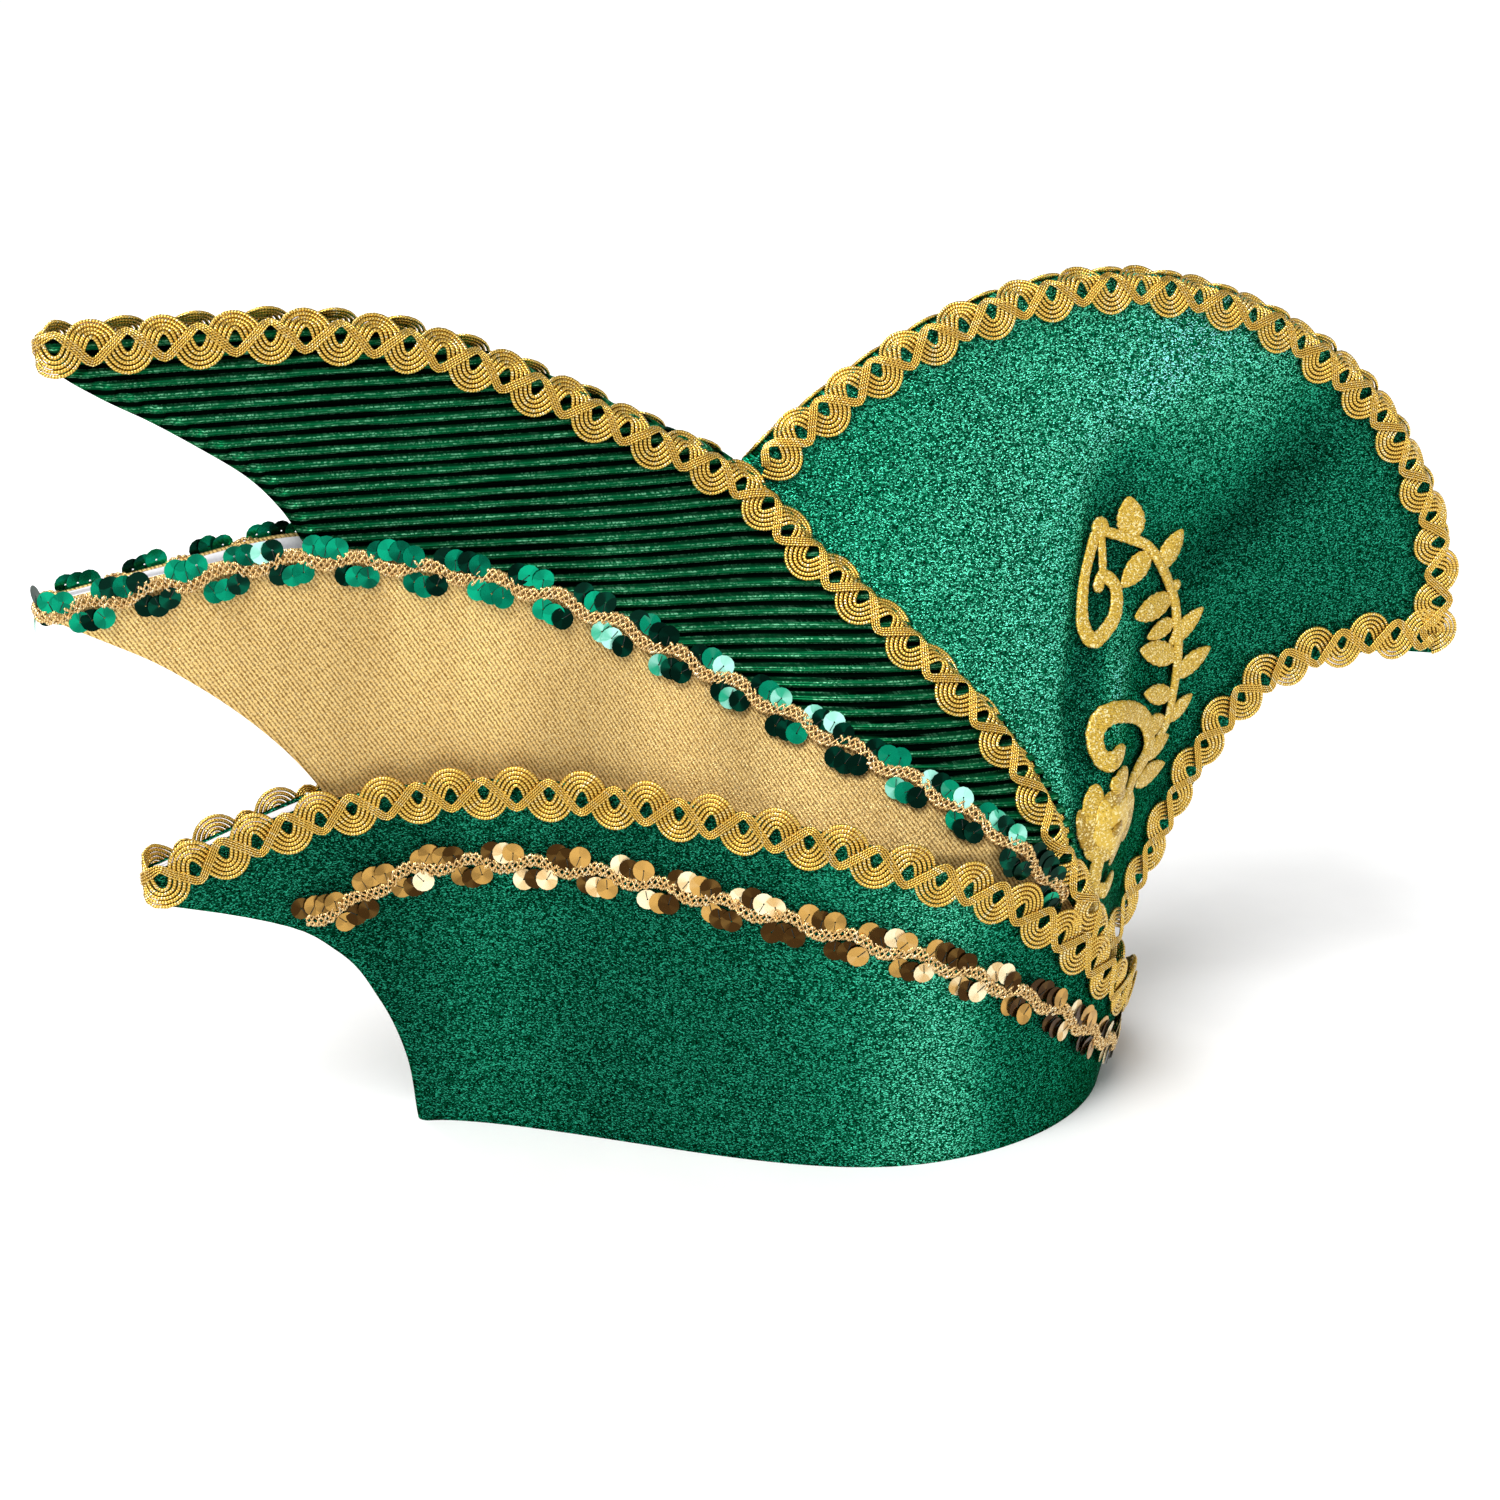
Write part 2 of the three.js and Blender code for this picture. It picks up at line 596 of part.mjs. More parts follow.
// Point on the crest's right-hand panel, on the roof up to the crease and then drawn in to the front edge,
// hollow in its lower part and round at its foot where it stands inside the lowest tier
function crestPoint(across, up) {
  const { x, z } = crestPlace(across, up);
  if (across <= crest.creaseShare) {
    return new THREE.Vector3(x, -crestRoof(x, z) + crestFoldDepth(across, up), z);
  }
  const crease = crestPlace(crest.creaseShare, up);
  const t = (across - crest.creaseShare) / (1 - crest.creaseShare);
  const creaseHalf = crestRoof(crease.x, crease.z);
  const hollow = 1 + crest.hollow * (1 - THREE.MathUtils.smoothstep(up, crest.hollowTo, crest.hollowEnd));
  const straight = crest.frontHalf + (creaseHalf - crest.frontHalf) * (1 - t) ** hollow;
  const round = creaseHalf * Math.sqrt(Math.max(0, 1 - t * t)) + crest.frontHalf * t;
  const half = THREE.MathUtils.lerp(straight, round, (1 - up) ** crest.footRound);
  return new THREE.Vector3(x, -half + crestFoldDepth(across, up), z);
}

// Outward direction of the crest's right-hand panel
function crestOutward(across, up) {
  const step = 0.004;
  const [a, u] = [across, up].map((value) => THREE.MathUtils.clamp(value, step, 1 - step));
  const alongAcross = crestPoint(a + step, u).sub(crestPoint(a - step, u));
  const alongUp = crestPoint(a, u + step).sub(crestPoint(a, u - step));
  return alongAcross.cross(alongUp).normalize();
}

// Skin of the crest: both panels, with a narrow strip over the arc and down the front edge
function crestSkin() {
  const acrossSteps = evenly(crest.columns, 0, 1);
  const upSteps = evenly(crest.rows, 0, 1).map((share) => 1 - (1 - share) ** crest.crowding);
  const grid = acrossSteps.map((across) => upSteps.map((up) => crestPoint(across, up)));
  const skin = new Skin();
  skin.sides(grid);
  const arc = grid.map((column) => column[crest.rows]);
  const front = [...grid[crest.columns]].reverse().slice(1);
  skin.join([...arc, ...front], 0);
  return skin;
}

// Solid band along a line of stations, each with a point on the cloth and the outward direction there
function bandGeometry(stations, trim, closed) {
  const count = stations.length;
  const neighbour = (i) => stations[closed ? (i + count) % count : THREE.MathUtils.clamp(i, 0, count - 1)];
  const positions = stations.flatMap(({ point, outward }, i) => {
    const along = neighbour(i + 1).point.clone().sub(neighbour(i - 1).point).normalize();
    const upwards = outward.clone().cross(along).normalize();
    const lift = along.clone().cross(upwards).normalize();
    const upright = new THREE.Vector3(upwards.x, 0, upwards.z).normalize();
    const high = i % 2 === 0 ? trim.high : trim.waist;
    const low = i % 2 === 0 ? trim.waist : trim.low;
    const corners = [
      { rise: -low, towards: upwards, depth: 0 },
      { rise: high, towards: upright, depth: 0 },
      { rise: high, towards: upright, depth: trim.thick },
      { rise: -low, towards: upwards, depth: trim.thick },
    ];
    return corners.flatMap(({ rise, towards, depth }) => point.clone()
      .addScaledVector(towards, rise).addScaledVector(lift, trim.clear + depth).toArray());
  });
  const index = [];
  const spans = closed ? count : count - 1;
  for (let i = 0; i < spans; i += 1) {
    const [here, next] = [4 * i, 4 * ((i + 1) % count)];
    for (let side = 0; side < 4; side += 1) {
      const other = (side + 1) % 4;
      index.push(here + side, next + side, next + other, here + side, next + other, here + other);
    }
  }
  if (!closed) {
    const end = 4 * (count - 1);
    index.push(0, 1, 2, 0, 2, 3, end, end + 2, end + 1, end, end + 3, end + 2);
  }
  const geometry = new THREE.BufferGeometry();
  geometry.setAttribute('position', new THREE.Float32BufferAttribute(positions, 3));
  geometry.setIndex(index);
  geometry.computeVertexNormals();
  return facingOut(geometry);
}

// The same geometry with every face turned if its volume comes out negative
function facingOut(geometry) {
  const position = geometry.getAttribute('position');
  const index = geometry.getIndex();
  const [a, b, c] = [new THREE.Vector3(), new THREE.Vector3(), new THREE.Vector3()];
  let volume = 0;
  for (let i = 0; i < index.count; i += 3) {
    [a, b, c].forEach((corner, j) => corner.fromBufferAttribute(position, index.getX(i + j)));
    volume += a.dot(b.cross(c));
  }
  if (volume < 0) geometry.setIndex([...index.array].reverse());
  geometry.computeVertexNormals();
  return geometry;
}

// Stations half a scallop apart along a dense run of places on the cloth
function evenStations(dense, pitch) {
  const lengths = [0];
  for (let i = 1; i < dense.length; i += 1) {
    lengths.push(lengths[i - 1] + dense[i].point.distanceTo(dense[i - 1].point));
  }
  const total = lengths[lengths.length - 1];
  const halves = 2 * Math.round(total / pitch);
  return Array.from({ length: halves + 1 }, (_, i) => {
    const target = (total * i) / halves;
    let j = 0;
    while (j < lengths.length - 2 && lengths[j + 1] < target) j += 1;
    const t = (target - lengths[j]) / (lengths[j + 1] - lengths[j]);
    return {
      point: dense[j].point.clone().lerp(dense[j + 1].point, t),
      outward: dense[j].outward.clone().lerp(dense[j + 1].outward, t).normalize(),
    };
  });
}

function mirroredStation({ point, outward }) {
  return { point: mirrored(point), outward: mirrored(outward) };
}

// Places on a tier's right-hand side at a share of its length
function tierStation(tier, share, rise) {
  const step = 0.004;
  const s = THREE.MathUtils.clamp(share, step, 1 - step);
  const along = tierPoint(tier, s + step, rise).sub(tierPoint(tier, s - step, rise));
  const up = tierPoint(tier, s, rise + step).sub(tierPoint(tier, s, rise - step));
  return { point: tierPoint(tier, share, rise), outward: along.cross(up).normalize() };
}

// Share of a tier's height that lies a set drop below its top edge
function riseBelowEdge(tier, share, drop) {
  const low = tier.low(share);
  const high = tier.high(share);
  return 1 - drop / Math.hypot(high.x - low.x, high.z - low.z);
}

// Run of a trim round a tail: left side from the front, round the tip, and back along the right side
function roundTail(rightRun, closed) {
  const tip = rightRun[rightRun.length - 1];
  const nose = {
    point: new THREE.Vector3(tip.point.x - trimNose, 0, tip.point.z),
    outward: new THREE.Vector3(-1, 0, 0),
  };
  const back = [...rightRun].reverse();
  return [...rightRun.map(mirroredStation), nose, ...(closed ? back.slice(0, -1) : back)];
}

// Run of a trim round the front, from the right-hand rear edge to the left-hand one
function roundFront(rightRun) {
  return [...[...rightRun].reverse(), ...rightRun.slice(1).map(mirroredStation)];
}

function baseBraidStations() {
  const right = evenly(120, 1, 0).map((share) => (
    tierStation(baseTier, share, riseBelowEdge(baseTier, share, braid.drop))));
  return roundTail(evenStations(right, braid.pitch), true);
}

function middleSequinStations() {
  const right = evenly(100, middle.trimShare, 0).map((share) => (
    tierStation(middleTier, share, riseBelowEdge(middleTier, share, sequins.drop))));
  return roundTail(evenStations(right, sequins.pitch), false);
}

// Share of the lowest tier's height at which its sequin line runs
function baseSequinRise(share) {
  let rise = 0.5;
  for (let round = 0; round < 12; round += 1) {
    const low = baseTier.low(share);
    const high = baseTier.high(share);
    const x = low.x + (high.x - low.x) * rise;
    const target = (baseSequinLine(x) - low.z) / (high.z - low.z);
    rise += (THREE.MathUtils.clamp(target, 0, 1) - rise) / 2;
  }
  return rise;
}

function baseSequinStations() {
  const rearShareOfTail = 0.055;
  const right = evenly(120, 1, rearShareOfTail).map((share) => (
    tierStation(baseTier, share, baseSequinRise(share))));
  return roundFront(evenStations(right, sequins.pitch));
}

// Right-hand line of the pleated tier's top edge and front slope, from the front point to the tail
function wingBraidStations() {
  const { highZ } = wing;
  const edge = evenly(90, wing.braidLowZ, highZ).map((z) => ({ x: wingRight(z), z }));
  const top = evenly(20, wingRight(highZ), wingLeft(highZ)).slice(1).map((x) => ({ x, z: highZ }));
  const line = [...edge, ...top];
  const right = line.map((place, i) => {
    const before = line[Math.max(0, i - 1)];
    const after = line[Math.min(line.length - 1, i + 1)];
    const length = Math.hypot(after.x - before.x, after.z - before.z);
    const x = place.x + (braid.drop * (before.z - after.z)) / length;
    const z = place.z + (braid.drop * (after.x - before.x)) / length;
    const outward = outwardOf(wingHalf, x, z);
    return { point: onSide(wingHalf, x, z).addScaledVector(outward, wing.pleatHeight), outward };
  });
  return roundTail(evenStations(right, braid.pitch), false);
}

// Right-hand line of the crest's braid: over the arc, round the beak and down the front edge
function crestBraidStations() {
  const belowArc = (across) => 1 - shareOfDrop(crestPoint(across, 1), crestPoint(across, 0.9), 0.1);
  const behindFront = (up) => 1 - shareOfDrop(crestPoint(1, up), crestPoint(0.9, up), 0.1);
  const arc = evenly(90, 0.02, behindFront(1)).map((across) => ({ across, up: belowArc(across) }));
  const front = evenly(60, belowArc(1), crest.braidFoot).slice(1)
    .map((up) => ({ across: behindFront(up), up }));
  const dense = [...arc, ...front].map(({ across, up }) => (
    { point: crestPoint(across, up), outward: crestOutward(across, up) }));
  return evenStations(dense, braid.pitch);
}

// Share of the panel that the braid's drop takes up, from the length of a known share
function shareOfDrop(edge, inner, share) {
  return (share * braid.drop) / edge.distanceTo(inner);
}

// Outline of a flat ribbon along a curve, narrowing a little to its ends
function ribbonOutline({ points, width, steps }) {
  const curve = curveThrough(points);
  const sides = evenly(steps, 0, 1).map((t) => {
    const middle = curve.getPointAt(t);
    const along = curve.getTangentAt(t);
    const half = (width / 2) * (0.8 + 0.2 * Math.sin(Math.PI * t));
    const square = new THREE.Vector2(-along.y, along.x).multiplyScalar(half);
    return { left: middle.clone().add(square), right: middle.clone().sub(square) };
  });
  return [...sides.map(({ left }) => left), ...sides.map(({ right }) => right).reverse()];
}

// Outline of a pointed leaf from its foot to its tip
function leafOutline({ x, z, length, angle, width }) {
  const profile = [{ along: 0.3, half: 0.9 }, { along: 0.7, half: 0.85 }];
  const side = (sign) => profile.map(({ along, half }) => (
    new THREE.Vector2(along * length, sign * half * (width / 2))));
  const outline = [new THREE.Vector2(), ...side(-1), new THREE.Vector2(length, 0), ...side(1).reverse()];
  const turn = THREE.MathUtils.degToRad(angle);
  const foot = new THREE.Vector2(x, z);
  return outline.map((point) => point.rotateAround(new THREE.Vector2(), turn).add(foot));
}

// Outline of a bud, or of a rose with lobes round it
function roundOutline({ x, z, across, up, lobes, sides }) {
  return Array.from({ length: sides }, (_, i) => {
    const turn = (2 * Math.PI * i) / sides;
    const reach = lobes === 0 ? 1 : 0.92 + 0.08 * Math.cos(lobes * turn);
    return new THREE.Vector2(x + across * reach * Math.cos(turn), z + up * reach * Math.sin(turn));
  });
}

// Flat solid of an outline, ready to be joined with its neighbours
function flatSolid(outline) {
  const shape = new THREE.Shape(outline);
  const geometry = new THREE.ExtrudeGeometry(shape, { depth: ornament.thick, bevelEnabled: false });
  geometry.deleteAttribute('normal');
  geometry.deleteAttribute('uv');
  const merged = mergeVertices(geometry);
  const vertProperties = new Float32Array(merged.getAttribute('position').array);
  const triVerts = new Uint32Array(merged.getIndex().array);
  return new wasm.Manifold(new wasm.Mesh({ numProp: 3, vertProperties, triVerts }));
}

// Shares of the crest's panel at a place in its side view, found by stepping towards it
function crestSharesAt(x, z) {
  const shares = { across: 0.5, up: 0.4 };
  const probe = 0.001;
  for (let round = 0; round < 15; round += 1) {
    const here = crestPlace(shares.across, shares.up);
    const right = crestPlace(shares.across + probe, shares.up);
    const above = crestPlace(shares.across, shares.up + probe);
    const turn = new THREE.Matrix3().set(
      (right.x - here.x) / probe, (above.x - here.x) / probe, 0,
      (right.z - here.z) / probe, (above.z - here.z) / probe, 0,
      0, 0, 1,
    ).invert();
    const step = new THREE.Vector3(x - here.x, z - here.z, 0).applyMatrix3(turn);
    shares.across = THREE.MathUtils.clamp(shares.across + step.x, 0.05, 0.95);
    shares.up = THREE.MathUtils.clamp(shares.up + step.y, 0.05, 0.95);
  }
  return shares;
}

// The whole ornament, joined flat and then laid on the crest's right-hand panel
function ornamentGeometry() {
  const outlines = [
    ...ornamentRibbons.map(ribbonOutline),
    ...ornamentLeaves.map(leafOutline),
    ...ornamentRounds.map(roundOutline),
  ];
  const whole = outlines.map(flatSolid).reduce((joined, piece) => joined.add(piece));
  const flat = whole.subtract(flatSolid(roundOutline(roseEye))).getMesh();
  const positions = [];
  for (let i = 0; i < flat.vertProperties.length; i += 3) {
    const [x, z, depth] = flat.vertProperties.slice(i, i + 3);
    const { across, up } = crestSharesAt(x, z);
    const lift = crestOutward(across, up).multiplyScalar(ornament.clear + depth);
    positions.push(...crestPoint(across, up).add(lift).toArray());
  }
  const geometry = new THREE.BufferGeometry();
  geometry.setAttribute('position', new THREE.Float32BufferAttribute(positions, 3));
  geometry.setIndex([...flat.triVerts]);
  return facingOut(geometry);
}

// The same geometry on the other side of the cap
function mirroredGeometry(geometry) {
  return facingOut(geometry.clone().scale(1, -1, 1));
}

const wholeTier = (tier) => tierSkin(tier, 0, 1).wall(0, cloth.thick);
const tierLining = (tier) => (
  tierSkin(tier, card.insetLow, card.insetHigh).wall(cloth.thick + cloth.clear, layer));
const crestBraidRight = crestBraidStations();
const crestBraidLeft = crestBraidRight.map(mirroredStation).reverse();
const ornamentRight = ornamentGeometry();

const capParts = {
  base_cover: { material: finish.greenLame, geometry: wholeTier(baseTier) },
  base_card: { material: finish.whiteCard, geometry: tierLining(baseTier) },
  middle_cover: { material: finish.goldLame, geometry: wholeTier(middleTier) },
  middle_card: { material: finish.whiteCard, geometry: tierLining(middleTier) },
  pleated_wing: { material: finish.pleatedSatin, geometry: wingWall() },
  front_crest: { material: finish.greenLame, geometry: crestSkin().wall(0, crest.thick) },
  base_braid: { material: finish.goldBraid, geometry: bandGeometry(baseBraidStations(), braid, true) },
  wing_braid: { material: finish.goldBraid, geometry: bandGeometry(wingBraidStations(), braid, false) },
  crest_braid_right: {
    material: finish.goldBraid,
    geometry: bandGeometry(crestBraidRight, crestBraid, false),
  },
  crest_braid_left: {
    material: finish.goldBraid,
    geometry: bandGeometry(crestBraidLeft, crestBraid, false),
  },
  middle_sequins: {
    material: finish.greenSequin,
    geometry: bandGeometry(middleSequinStations(), sequins, false),
  },
  base_sequins: { material: finish.goldSequin, geometry: bandGeometry(baseSequinStations(), sequins, false) },
  crest_applique_right: { material: finish.goldThread, geometry: ornamentRight },
  crest_applique_left: { material: finish.goldThread, geometry: mirroredGeometry(ornamentRight) },
};

const cap = new THREE.Group();
for (const [name, { material, geometry }] of Object.entries(capParts)) {
  const mesh = new THREE.Mesh(geometry, material);
  mesh.name = name;
  cap.add(mesh);
}
cap.position.x = -new THREE.Box3().setFromObject(cap).getCenter(new THREE.Vector3()).x;

export default cap;
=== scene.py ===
"""Looks of a carnival cap: cloth tiers on card, pleated wing, front crest, braids, sequins and a vine."""

import logging
import math
from collections.abc import Callable, Sequence
from dataclasses import dataclass, field
from enum import Enum
from functools import cache

import bmesh
import bpy
import numpy as np
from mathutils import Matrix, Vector


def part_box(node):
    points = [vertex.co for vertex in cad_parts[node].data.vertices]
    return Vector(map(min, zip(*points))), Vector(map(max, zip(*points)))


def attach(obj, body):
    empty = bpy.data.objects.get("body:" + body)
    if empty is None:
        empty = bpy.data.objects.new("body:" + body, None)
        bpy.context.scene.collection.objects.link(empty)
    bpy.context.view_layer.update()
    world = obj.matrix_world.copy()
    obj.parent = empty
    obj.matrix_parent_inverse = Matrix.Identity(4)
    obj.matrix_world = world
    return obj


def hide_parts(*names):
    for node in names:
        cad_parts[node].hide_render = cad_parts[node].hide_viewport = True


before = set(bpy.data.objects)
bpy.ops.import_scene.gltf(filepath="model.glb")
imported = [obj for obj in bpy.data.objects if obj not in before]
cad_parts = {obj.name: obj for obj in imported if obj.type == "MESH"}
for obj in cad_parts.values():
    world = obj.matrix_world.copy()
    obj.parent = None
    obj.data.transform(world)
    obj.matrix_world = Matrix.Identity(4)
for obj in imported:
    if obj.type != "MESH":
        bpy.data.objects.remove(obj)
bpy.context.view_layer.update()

log = logging.getLogger("cap")

Array = np.ndarray
HalfWidth = Callable[[Array, Array], Array]
Place = Callable[[Array, Array], Array]
Rgb = tuple[float, float, float]

MM = 0.001
BODY = "root"
CLOTH_MAP = "cloth"
# Attribute of painted light and shade on the lamé cloth: lighter where positive, darker where negative.
SHEEN = "sheen"
TONE = "tone"


class Side(Enum):
    """The two sides of the cap, by the sign of y."""

    RIGHT = -1
    LEFT = 1


class SmoothLine:
    """A smooth line through the rows of a table: its second column at any place along the first."""

    def __init__(self, *rows: tuple[float, float]) -> None:
        """Keeps the rows and their slopes.

        Args:
            rows: Pairs of place and value, in rising order of place.
        """
        self.at, self.to = np.array(rows, float).T
        self.step = np.diff(self.at)
        slope = np.diff(self.to) / self.step
        inner = (slope[:-1] * self.step[1:] + slope[1:] * self.step[:-1]) / (self.step[:-1] + self.step[1:])
        self.tangent = np.concatenate([slope[:1], inner, slope[-1:]])

    def __call__(self, place: Array) -> Array:
        """Gives the line's values.

        Args:
            place: Places along the first column, held to its ends.

        Returns:
            The values there.
        """
        t = np.clip(place, self.at[0], self.at[-1])
        i = np.clip(np.searchsorted(self.at, t) - 1, 0, len(self.step) - 1)
        s = (t - self.at[i]) / self.step[i]
        rise = s * s * (3 - 2 * s)
        bend = self.step[i] * s * (1 - s) * (self.tangent[i] * (1 - s) - self.tangent[i + 1] * s)
        return self.to[i] * (1 - rise) + self.to[i + 1] * rise + bend


def lengths(points: Array) -> Array:
    """Length along a line from its first point to each of its points."""
    return np.concatenate([[0], np.cumsum(np.linalg.norm(np.diff(points, axis=0), axis=1))])


def along_rows(place: Array, at: Array, rows: Array) -> Array:
    """Rows of numbers at places between those where they are known."""
    return np.stack([np.interp(place, at, column) for column in rows.T], axis=-1)


class SideCurve:
    """A curve in the side view through points of x and z, with places at even shares of its length."""

    DENSITY = 60

    def __init__(self, *points: tuple[float, float]) -> None:
        """Lays the curve through its points.

        Args:
            points: Pairs of x and z.
        """
        p = np.array(points, float)
        n = len(p) - 1
        t = np.linspace(0, n, n * self.DENSITY + 1)
        i = np.minimum(t.astype(int), n - 1)
        w = (t - i)[:, None]
        before, here = p[np.maximum(i - 1, 0)], p[i]
        there, after = p[i + 1], p[np.minimum(i + 2, n)]
        v0, v1 = (there - before) / 2, (after - here) / 2
        cubic = (2 * here - 2 * there + v0 + v1) * w ** 3
        self.dense = cubic + (3 * there - 3 * here - 2 * v0 - v1) * w ** 2 + v0 * w + here
        at = lengths(self.dense)
        self.length = float(at[-1])
        self.share = at / self.length

    def __call__(self, share: Array) -> Array:
        """Gives places as rows of x and z at shares of the length."""
        return along_rows(share, self.share, self.dense)


def smoothstep(value: Array, low: float, high: float) -> Array:
    """Rises smoothly from 0 at low to 1 at high."""
    t = np.clip((value - low) / (high - low), 0, 1)
    return t * t * (3 - 2 * t)


def falling(value: Array, low: float, high: float) -> Array:
    """Falls smoothly from 1 at low to 0 at high."""
    return smoothstep(-value, -high, -low)


def even_shares(count: int) -> Array:
    """Shares from 0 to 1 in even steps, rounded as a panel's are."""
    return np.round(np.linspace(0, 1, count + 1), 6)


def steepness(half: HalfWidth, x: Array, z: Array) -> tuple[Array, Array]:
    """How a half-width changes along x and z."""
    step = 0.5
    along_x = (half(x + step, z) - half(x - step, z)) / (2 * step)
    along_z = (half(x, z + step) - half(x, z - step)) / (2 * step)
    return along_x, along_z


def inside_of(half: HalfWidth, depth: Array | float, x: Array, z: Array) -> Array:
    """Half-width of a surface that lies inside another by a depth measured square to it."""
    along_x, along_z = steepness(half, x, z)
    return half(x, z) - depth * np.sqrt(1 + along_x ** 2 + along_z ** 2)


def lesser(one: Array, other: Array) -> Array:
    """The lesser of two half-widths, rounded off where they cross."""
    rounding = 1.5
    return -rounding * np.logaddexp(-one / rounding, -other / rounding)


def unit(vectors: Array) -> Array:
    """Vectors brought to length 1."""
    return vectors / np.maximum(np.linalg.norm(vectors, axis=-1, keepdims=True), 1e-9)


@dataclass(frozen=True)
class Fold:
    """A soft fold of the crest's cloth, inwards where its depth is positive; also a patch of painted light
    and shade.

    Its line holds pairs of share up and share across the panel; rear and front are its reaches across.
    """

    depth: float
    rear: float
    front: float
    line: tuple[tuple[float, float], ...]

    def __call__(self, across: Array, up: Array) -> Array:
        """Depth of the fold at shares of the panel; for a patch of painted light and shade, its amount."""
        low, high = self.line[0][0], self.line[-1][0]
        along = np.clip((up - low) / (high - low), 0, 1)
        off = across - SmoothLine(*self.line)(up)
        reach = np.where(off < 0, self.rear, self.front)
        return self.depth * np.exp(-(off / reach) ** 2) * np.sin(np.pi * along)


@dataclass
class CapForm:
    """The cap's surfaces in millimetres, as half-widths over the side view, alike on both sides."""

    widest_x: float = 33.0
    front_x: float = 117.0
    half_width: float = 81.5
    lean: float = 0.3
    layer: float = 2.8
    seat: float = 0.9
    pleat_height: float = 0.8
    shoulder: tuple[float, float] = (100.0, 76.0)
    ridge_half: float = 6.0
    spread: float = 0.6
    crease: float = 0.4
    front_half: float = 3.0
    hollow: float = 0.8
    rim_x: float = -107.0
    tip_x: float = 125.7
    crest_depth: float = 3.4
    base_edge: SmoothLine = SmoothLine(
        (-188, 95), (-167, 103), (-145, 110), (-109, 116.5), (-69, 117.8), (-32, 114), (7, 107),
        (37, 96.5), (55, 88), (73, 74.5), (90, 59), (108, 40), (125.7, 29))
    base_rear: SmoothLine = SmoothLine(
        (0, -107), (24, -110.5), (44, -118.5), (63, -132), (74, -148), (80, -165), (86, -187))
    base_rear_height: SmoothLine = SmoothLine(
        (-187, 86), (-165, 80), (-148, 74), (-132, 63), (-118.5, 44), (-110.5, 24), (-107, 0))
    middle_edge: SmoothLine = SmoothLine(
        (-214, 182), (-180, 188), (-143, 193), (-108, 188.5), (-67, 177.5), (-32, 158.5), (0, 140),
        (41, 116), (68, 94), (84, 72), (96, 48))
    middle_rear: SmoothLine = SmoothLine(
        (90, -120), (117, -135), (127, -142.5), (142, -157), (154, -171.5), (164, -186),
        (171.5, -200), (179, -214))
    wing_left: SmoothLine = SmoothLine(
        (66, 74), (87, 55), (107, 27), (121, 2), (141, -32), (160, -67), (171, -106), (178, -125),
        (194, -135), (206, -142), (218, -153), (228, -167), (237, -181), (245, -195), (254, -207),
        (259, -209))
    wing_right: SmoothLine = SmoothLine(
        (66, 90.5), (75, 88), (87, 85), (107, 79.5), (129, 67), (159, 41), (185, 15), (206, -4),
        (222, -33.5), (237.5, -64.5), (250, -95), (256, -118), (259, -142))
    ridge_height: SmoothLine = SmoothLine(
        (-213, 261), (-145, 262), (-109, 256), (-72, 243), (-40, 228), (-7, 214), (20, 225), (47, 242),
        (80, 255), (112, 260), (150, 258), (250, 250))
    crest_arc: SideCurve = SideCurve(
        (-3, 204), (15, 220), (46.6, 240), (79, 252.5), (112.7, 257.5), (147, 253), (182, 238),
        (217, 209.5), (238.5, 173), (244, 145), (242.5, 122))
    crest_front: SideCurve = SideCurve(
        (107.5, 10), (116, 23), (126, 37), (137.5, 55), (151.5, 81), (168.5, 106), (189, 121),
        (216, 125), (242.5, 122))
    crest_rear: SideCurve = SideCurve((78, 50), (70, 78), (60, 104), (36, 134), (14, 164), (-3, 204))
    crest_low: SideCurve = SideCurve((78, 50), (95, 31), (107.5, 10))
    folds: tuple[Fold, ...] = (
        Fold(4.5, 0.02, 0.1, ((0.22, 0.25), (0.355, 0.285), (0.46, 0.355), (0.52, 0.385),
                              (0.59, 0.415), (0.685, 0.44), (0.8, 0.46))),
        Fold(3.8, 0.065, 0.05, ((0.4, 0.56), (0.54, 0.63), (0.65, 0.695), (0.795, 0.715),
                                (0.94, 0.685), (1.05, 0.66))),
        Fold(-3.0, 0.1, 0.08, ((0.62, 0.5), (0.8, 0.53), (0.9, 0.55), (1.0, 0.57))),
        Fold(-2.2, 0.04, 0.05, ((0.28, 0.43), (0.4, 0.46), (0.54, 0.5))),
        Fold(-2.0, 0.07, 0.06, ((0.6, 0.86), (0.8, 0.86), (0.97, 0.85))),
    )

    def front_share(self, x: Array, z: Array) -> Array:
        """Share of the full width that the round front keeps."""
        reach = self.front_x + self.lean * z - self.widest_x
        t = np.maximum(x - self.widest_x, 0) / reach
        return np.sqrt(np.maximum(0, 1 - t ** 2))

    def rear_share(self, x: Array, rear_x: Array | float, taper: float) -> Array:
        """Share of the full width that the boat-shaped rear has reached."""
        t = np.clip((x - rear_x) / (self.widest_x - rear_x), 0, 1)
        return np.sin(np.pi / 2 * t ** taper)

    def base_half(self, x: Array, z: Array) -> Array:
        """Half-width of the lowest tier."""
        tail_half, tail_x, rim_taper, edge_taper = 3.5, -188.0, 1.3, 2.6
        low_z = self.base_rear_height(x)
        rise = np.clip((z - low_z) / (self.base_edge(x) - low_z), 0, 1)
        low = self.rear_share(x, self.rim_x, rim_taper)
        high = self.rear_share(x, tail_x, edge_taper)
        spread = self.half_width - tail_half
        return (tail_half + spread * (low + (high - low) * rise)) * self.front_share(x, z)

    def roof_half(self, x: Array, z: Array) -> Array:
        """Half-width of the roof that the upper tiers and the crest share."""
        flare = 1.3
        ridge = self.ridge_height(x)
        shoulder_z, shoulder_half = self.shoulder
        share = np.clip((ridge - z) / (ridge - shoulder_z), 0, 1)
        return self.ridge_half + (shoulder_half - self.ridge_half) * share ** flare

    def inside_base(self, x: Array, z: Array) -> Array:
        """Half-width just inside the lowest tier."""
        return inside_of(self.base_half, self.layer + self.seat, x, z)

